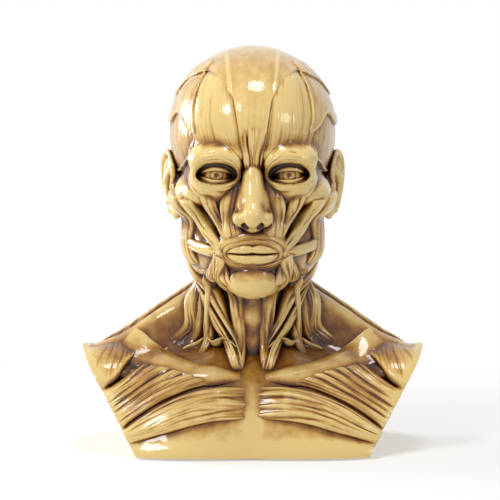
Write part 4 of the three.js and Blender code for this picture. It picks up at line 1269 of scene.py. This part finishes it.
# Felt pad: a flat with rounded corners, drawn up to its thickness and eased on top, in metres
feltPad = {"corner": 0.014, "ease": 0.0003}
feltLow, feltHigh = (Vector(corner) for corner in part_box("base_felt"))
feltSize = feltHigh - feltLow
deselectAll()
bpy.ops.mesh.primitive_plane_add(
    size=1, location=((feltLow.x + feltHigh.x) / 2, (feltLow.y + feltHigh.y) / 2, feltLow.z))
pad = bpy.context.object
pad.name = "base_felt_form"
pad.scale = (feltSize.x, feltSize.y, 1)
bpy.ops.object.transform_apply(location=True, rotation=True, scale=True)
bpy.ops.object.mode_set(mode="EDIT")
bpy.ops.mesh.select_all(action="SELECT")
bpy.ops.mesh.bevel(offset=feltPad["corner"], segments=12, affect="VERTICES")
bpy.ops.mesh.select_all(action="SELECT")
bpy.ops.mesh.extrude_region_move(TRANSFORM_OT_translate={"value": (0, 0, feltSize.z)})
bpy.ops.mesh.bevel(offset=feltPad["ease"], segments=2, affect="EDGES")
bpy.ops.mesh.select_all(action="SELECT")
bpy.ops.mesh.normals_make_consistent(inside=False)
bpy.ops.object.mode_set(mode="OBJECT")
bpy.ops.object.shade_smooth_by_angle(angle=math.radians(40))
pieces["base_felt"] = pad


# The brown wash: dark where the cast is hollow, rubbed off where it stands proud. Painted shade and a painted
# highlight are added to it.

gridCell = 0.6
gridLow = np.array([-82, -60, -4.0])
gridHigh = np.array([82, 62, 194.0])
gridShape = np.ceil((gridHigh - gridLow) / gridCell).astype(int)


def meshArrays(piece):
    mesh = piece.data
    mesh.calc_loop_triangles()
    places = np.empty(len(mesh.vertices) * 3, np.float32)
    mesh.vertices.foreach_get("co", places)
    triangles = np.empty(len(mesh.loop_triangles) * 3, np.int32)
    mesh.loop_triangles.foreach_get("vertices", triangles)
    normals = np.empty(len(mesh.vertices) * 3, np.float32)
    mesh.vertices.foreach_get("normal", normals)
    return places.reshape(-1, 3) / metresPerMm, triangles.reshape(-1, 3), normals.reshape(-1, 3)


# How full each cell of the grid is, from 0 to 1
def filledSpace():
    filled = np.zeros(gridShape, np.float32)
    for name, piece in pieces.items():
        if name == "base_felt":
            continue
        places, triangles, _ = meshArrays(piece)
        shifted = (places - gridLow).astype(np.float32)
        grid = openvdb.FloatGrid.createLevelSetFromPolygons(
            shifted, triangles=triangles.astype(np.uint32),
            transform=openvdb.createLinearTransform(voxelSize=gridCell), halfWidth=2)
        low, high = grid.evalActiveVoxelBoundingBox()
        low = [max(int(k), 0) for k in low]
        high = [min(int(k), int(top) - 1) for k, top in zip(high, gridShape)]
        block = np.zeros([b - a + 1 for a, b in zip(low, high)], np.float32)
        grid.copyToArray(block, ijk=low)
        inside = np.clip(0.5 - block / gridCell, 0, 1)
        region = tuple(slice(a, b + 1) for a, b in zip(low, high))
        filled[region] = np.maximum(filled[region], inside)
    return filled


def blurred(space, radius):
    reach = max(1, round(radius / gridCell))
    for _ in range(2):
        for axis in range(3):
            padding = [(reach + 1, reach) if k == axis else (0, 0) for k in range(3)]
            total = np.cumsum(np.pad(space, padding), axis=axis, dtype=np.float64)
            count = space.shape[axis]
            high = np.take(total, range(2 * reach + 1, 2 * reach + 1 + count), axis=axis)
            low = np.take(total, range(0, count), axis=axis)
            space = ((high - low) / (2 * reach + 1)).astype(np.float32)
    return space


def sampled(space, p):
    q = (p - gridLow) / gridCell
    low = np.clip(np.floor(q).astype(int), 0, gridShape - 2)
    off = np.clip(q - low, 0, 1)
    total = 0
    for step in np.ndindex(2, 2, 2):
        weight = np.prod(np.where(np.array(step) == 1, off, 1 - off), axis=-1)
        total = total + space[tuple((low + step).T)] * weight
    return total


washAndShade = {
    "bare": 0.34, "off": 0.5, "groove": 0.5, "knee": (0.5, 0.5), "patches": [(5, 21, 0.07), (1.6, 22, 0.05)],
    # The wide measure is partly wash gathered in broad hollows and partly painted shade under the jaw and
    # down the neck
    "near": (0.9, 0.33, 1.9), "middle": (2.4, 0.42, 2.4), "wide": (6.5, 0.47, 1.9),  # radius, level, share
    "shadeTop": 105, "shadeOver": 85, "low": 0.18,  # painted shade: darker towards the foot, as less light reaches it
    "eyeball": 0.55, "clavicleFrom": 36, "clavicleOver": 12, "clavicle": 0.22, "browReach": 8, "brow": 0.26,
}
# How much darker or paler than the rest a kind of piece is coloured; the paler pectorals are a painted
# highlight
toneShiftsAndPaintedHighlights = {
    "clavicle": 0.06, "deltoid": 0.16, "mentalis": 0.2, "frontalis": -0.13, "orbicularis_oculi": -0.04,
    "jugular_vein": 0.18, "pectoralis_clavicular": -0.12, "pectoralis_sternal": -0.15, "levator_labii": -0.2,
    "larynx": 0.12, "scalene": -0.12, "scalene_front": -0.08, "scalene_middle": -0.12, "scalene_rear": -0.1,
}
# Stains on the bust itself: middle, reach and sharpness across, up and back, and the y they lie in front of
bustStains = {
    "pit": {
        "across": (38, 20, 2), "up": (56, 13, 2), "back": (-1, 20, 4), "frontOf": math.inf, "share": 0.14,
    },
    "slit": {"across": (52, 7, 2), "up": (39, 6, 2), "frontOf": 0, "share": 0.4},
    "band": {"up": (11, 12, 4), "frontOf": -10, "share": -0.4},
    "breastbone": {"across": (0, 4, 2), "up": (20, 13, 4), "frontOf": -10, "share": -0.3},
}
bustKnee = {"from": 0.55, "share": 0.35, "slitShare": 0.5}
pitPatches = {"layers": [(6, 23, 1), (2.4, 24, 0.5)], "share": 0.12}
browHeight = headPoint((0, 0, 0.57))[2]


def stainAt(spot, p):
    x, y, z = p.T
    fall = 0
    for side, value in (("across", np.abs(x)), ("up", z), ("back", y)):
        if side in spot:
            middle, reach, power = spot[side]
            fall = fall - ((value - middle) / reach) ** power
    return np.exp(fall) * (y < spot["frontOf"])


def patchy(p, layers):
    return sum(lumps(p.astype(float), size, seed) * share for size, seed, share in layers)


def pastKnee(wash, level, share):
    return np.where(wash > level, level + (wash - level) * share, wash)


def washShadeAndHighlightOf(kind, places, normals, groove, blurs):
    spot = places + normals * washAndShade["off"]
    wash = washAndShade["bare"]
    # Wash gathered in hollows at three sizes; the widest is partly painted shade
    for size, blur in blurs.items():
        _, level, share = washAndShade[size]
        wash = wash + (sampled(blur, spot) - level) * share
    wash = wash + groove * washAndShade["groove"]
    x, _, z = places.T
    # Painted shade: the cast is coloured darker towards the foot
    low = np.clip((washAndShade["shadeTop"] - z) / washAndShade["shadeOver"], 0, 1)
    wash = wash + (toneShiftsAndPaintedHighlights.get(kind, 0) + washAndShade["low"] * low)
    if kind == "bust_core":
        shares = {name: stainAt(spot, places) for name, spot in bustStains.items()}
        wash = wash + sum(bustStains[name]["share"] * share for name, share in shares.items())
        wash = pastKnee(wash, bustKnee["from"], bustKnee["share"] + bustKnee["slitShare"] * shares["slit"])
        wash = wash + pitPatches["share"] * shares["pit"] * patchy(places, pitPatches["layers"])
    if kind == "eyeball":
        wash = wash * washAndShade["eyeball"]
    if kind == "clavicle":
        outer = (np.abs(x) - washAndShade["clavicleFrom"]) / washAndShade["clavicleOver"]
        wash = wash - washAndShade["clavicle"] * np.clip(outer, 0, 1)
    if kind == "frontalis":
        wash = wash - washAndShade["brow"] * np.exp(-((z - browHeight) / washAndShade["browReach"]) ** 2)
    return np.clip(pastKnee(wash, *washAndShade["knee"]) + patchy(places, washAndShade["patches"]), 0, 1)


filled = filledSpace()
report("space filled")
blurs = {size: blurred(filled, washAndShade[size][0]) for size in ("near", "middle", "wide")}
for name, piece in pieces.items():
    places, _, normals = meshArrays(piece)
    groove = np.zeros(len(places), np.float32)
    if "groove" in piece.data.attributes:
        piece.data.attributes["groove"].data.foreach_get("value", groove)
    kind = name.removesuffix("_left").removesuffix("_right")
    wash = washShadeAndHighlightOf(kind, places, normals, groove, blurs)
    layer = piece.data.attributes.new("wash", "FLOAT", "POINT")
    layer.data.foreach_set("value", wash.astype(np.float32))
report("wash laid")


# Materials. Their patterns are given in bumps a millimetre.


def newMaterial(name):
    material = bpy.data.materials.new(name)
    material.use_nodes = True
    tree = material.node_tree
    return material, tree, tree.nodes["Principled BSDF"]


def setStops(ramp, stops):
    elements = ramp.color_ramp.elements
    elements[0].position = stops[0][0]
    elements[1].position = stops[-1][0]
    for position, _ in stops[1:-1]:
        elements.new(position)
    for element, (_, colour) in zip(elements, stops):
        element.color = linearColour(colour)


resinLook = {
    "stops": [(0.05, "#DEC17C"), (0.34, "#B98C42"), (0.62, "#72420F"), (0.9, "#261207")],
    "cloud": {"Scale": 0.16 / metresPerMm, "Detail": 4}, "cloudShare": 0.22,
    "peel": {"Scale": 0.9 / metresPerMm, "Detail": 2}, "peelDepth": {"Strength": 0.12, "Distance": 0.0002},
    "rough": {"From Min": 0.2, "From Max": 0.9, "To Min": 0.26, "To Max": 0.42},
    "shader": {
        "IOR": 1.5, "Specular IOR Level": 0.12, "Coat Weight": 0.7, "Coat Roughness": 0.08, "Coat IOR": 1.5,
    },
}
feltLook = {
    "stops": [(0, "#16140F"), (1, "#3A362C")],
    "fuzz": {"Scale": 1.8 / metresPerMm, "Detail": 6}, "fuzzDepth": {"Strength": 0.6, "Distance": 0.0003},
    "shader": {"Roughness": 0.95, "Sheen Weight": 0.3},
}


# Polyresin: cream filled resin, moulded, brown wash wiped back, gloss varnish sprayed on.
# It gives warm ivory ridges, umber hollows and sharp wet highlights. The wash it reads also carries painted
# shade and a painted highlight.
def castResin():
    material, tree, shader = newMaterial("varnished washed polyresin")
    wash = addNode(tree, "ShaderNodeAttribute", {"attribute_name": "wash"})
    place = {"Vector": addNode(tree, "ShaderNodeTexCoord").outputs["Object"]}
    cloud = addNode(tree, "ShaderNodeTexNoise", inputs=resinLook["cloud"], links=place)
    mixed = addNode(
        tree, "ShaderNodeMath", {"operation": "MULTIPLY_ADD"}, {1: resinLook["cloudShare"]},
        {0: cloud.outputs["Fac"], 2: wash.outputs["Fac"]})
    shifted = addNode(
        tree, "ShaderNodeMath", {"operation": "SUBTRACT"}, {1: resinLook["cloudShare"] / 2},
        {0: mixed.outputs[0]})
    ramp = addNode(tree, "ShaderNodeValToRGB", links={"Fac": shifted.outputs[0]})
    setStops(ramp, resinLook["stops"])
    rough = addNode(
        tree, "ShaderNodeMapRange", inputs=resinLook["rough"], links={"Value": wash.outputs["Fac"]})
    peel = addNode(tree, "ShaderNodeTexNoise", inputs=resinLook["peel"], links=place)
    bump = addNode(
        tree, "ShaderNodeBump", inputs=resinLook["peelDepth"], links={"Height": peel.outputs["Fac"]})
    feed(tree, shader, resinLook["shader"], {
        "Base Color": ramp.outputs["Color"], "Roughness": rough.outputs["Result"],
        "Normal": bump.outputs["Normal"],
    })
    return material


# Wool felt, pressed: matt, dark, with short fibres, drawn coarse enough to show
def pressedFelt():
    material, tree, shader = newMaterial("pressed wool felt")
    place = {"Vector": addNode(tree, "ShaderNodeTexCoord").outputs["Object"]}
    fuzz = addNode(tree, "ShaderNodeTexNoise", inputs=feltLook["fuzz"], links=place)
    ramp = addNode(tree, "ShaderNodeValToRGB", links={"Fac": fuzz.outputs["Fac"]})
    setStops(ramp, feltLook["stops"])
    bump = addNode(
        tree, "ShaderNodeBump", inputs=feltLook["fuzzDepth"], links={"Height": fuzz.outputs["Fac"]})
    feed(tree, shader, feltLook["shader"], {
        "Base Color": ramp.outputs["Color"], "Normal": bump.outputs["Normal"],
    })
    return material


resin, felt = castResin(), pressedFelt()
for name, piece in pieces.items():
    piece.data.materials.clear()
    piece.data.materials.append(felt if name == "base_felt" else resin)
    node = nodeOf.get(name, name)
    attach(piece, "root")
    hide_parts(node)
print("dressed:", len(pieces), "triangles:", sum(len(p.data.loop_triangles) for p in pieces.values()))


# Floor, lights and camera

paperLook = {
    "shader": {"Base Color": linearColour("#F7F6F4"), "Roughness": 0.9},
    "fade": {"From Min": 0.06, "From Max": 0.34, "To Min": 0.5, "To Max": 1.0}, "size": 8,
}
white = linearColour("#FFFFFF")


# 1 for a ray from the camera, off gloss or through glass, and 0 for one that lights the bust
def lookingRays(tree):
    rays = addNode(tree, "ShaderNodeLightPath")
    first = addNode(
        tree, "ShaderNodeMath", {"operation": "MAXIMUM"},
        links={0: rays.outputs["Is Camera Ray"], 1: rays.outputs["Is Glossy Ray"]})
    return addNode(
        tree, "ShaderNodeMath", {"operation": "MAXIMUM"},
        links={0: first.outputs[0], 1: rays.outputs["Is Transmission Ray"]})


# White studio paper: it takes the shadow near the bust and fades to plain white further out
def studioPaper():
    material, tree, shader = newMaterial("white studio paper")
    feed(tree, shader, paperLook["shader"])
    glow = addNode(tree, "ShaderNodeEmission", inputs={"Color": white, "Strength": 1.0})
    place = addNode(tree, "ShaderNodeTexCoord")
    away = addNode(tree, "ShaderNodeVectorMath", {"operation": "LENGTH"}, links={0: place.outputs["Object"]})
    fade = addNode(
        tree, "ShaderNodeMapRange", {"interpolation_type": "SMOOTHSTEP"}, paperLook["fade"],
        {"Value": away.outputs["Value"]})
    share = addNode(
        tree, "ShaderNodeMath", {"operation": "MULTIPLY"},
        links={0: lookingRays(tree).outputs[0], 1: fade.outputs["Result"]})
    mixed = addNode(
        tree, "ShaderNodeMixShader", links={0: share.outputs[0], 1: shader.outputs[0], 2: glow.outputs[0]})
    feed(tree, tree.nodes["Material Output"], links={"Surface": mixed.outputs[0]})
    return material


deselectAll()
bpy.ops.mesh.primitive_plane_add(size=paperLook["size"], location=(0, 0, 0))
floor = bpy.context.object
floor.name = "studio_floor"
floor.data.materials.append(studioPaper())

# A dim white room that is plain white where it is looked at
roomStrength = 0.2
world = bpy.data.worlds.new("studio")
bpy.context.scene.world = world
world.use_nodes = True
room = world.node_tree
dim = room.nodes["Background"]
feed(room, dim, {"Color": white, "Strength": roomStrength})
plain = addNode(room, "ShaderNodeBackground", inputs={"Color": white, "Strength": 1.0})
mixed = addNode(
    room, "ShaderNodeMixShader",
    links={0: lookingRays(room).outputs[0], 1: dim.outputs[0], 2: plain.outputs[0]})
feed(room, room.nodes["World Output"], links={"Surface": mixed.outputs[0]})

lamps = {
    "keyLeft": {"at": (-0.46, -0.55, 0.62), "size": 0.28, "power": 3.9},
    "fillRight": {"at": (0.75, -0.55, 0.4), "size": 0.3, "power": 1.5},
    "top": {"at": (0.05, -0.15, 0.85), "size": 0.26, "power": 2.6},
    "rim": {"at": (-0.7, 0.4, 0.27), "size": 0.44, "power": 5.5},
}
lit = Vector((0, 0, 0.1))
for name, lamp in lamps.items():
    light = bpy.data.lights.new(name, "AREA")
    light.shape = "DISK"
    light.size = lamp["size"]
    light.energy = lamp["power"]
    holder = bpy.data.objects.new(name, light)
    bpy.context.scene.collection.objects.link(holder)
    holder.location = lamp["at"]
    holder.rotation_euler = (lit - holder.location).to_track_quat("-Z", "Y").to_euler()

view = {
    "distance": 1.1, "height": 4.5, "aim": (-0.0012, 0.008, 0.0905), "width": 0.2302, "film": 36,
    "near": 0.01,
}
camera = bpy.data.objects.new("camera", bpy.data.cameras.new("camera"))
bpy.context.scene.collection.objects.link(camera)
rise = math.radians(view["height"])
towards = Vector((0, -math.cos(rise), math.sin(rise)))
camera.location = Vector(view["aim"]) + towards * view["distance"]
camera.rotation_euler = (-towards).to_track_quat("-Z", "Y").to_euler()
camera.data.sensor_width = view["film"]
camera.data.lens = view["film"] * view["distance"] / view["width"]
camera.data.clip_start = view["near"]
bpy.context.scene.camera = camera
bpy.context.scene.view_settings.view_transform = "Standard"
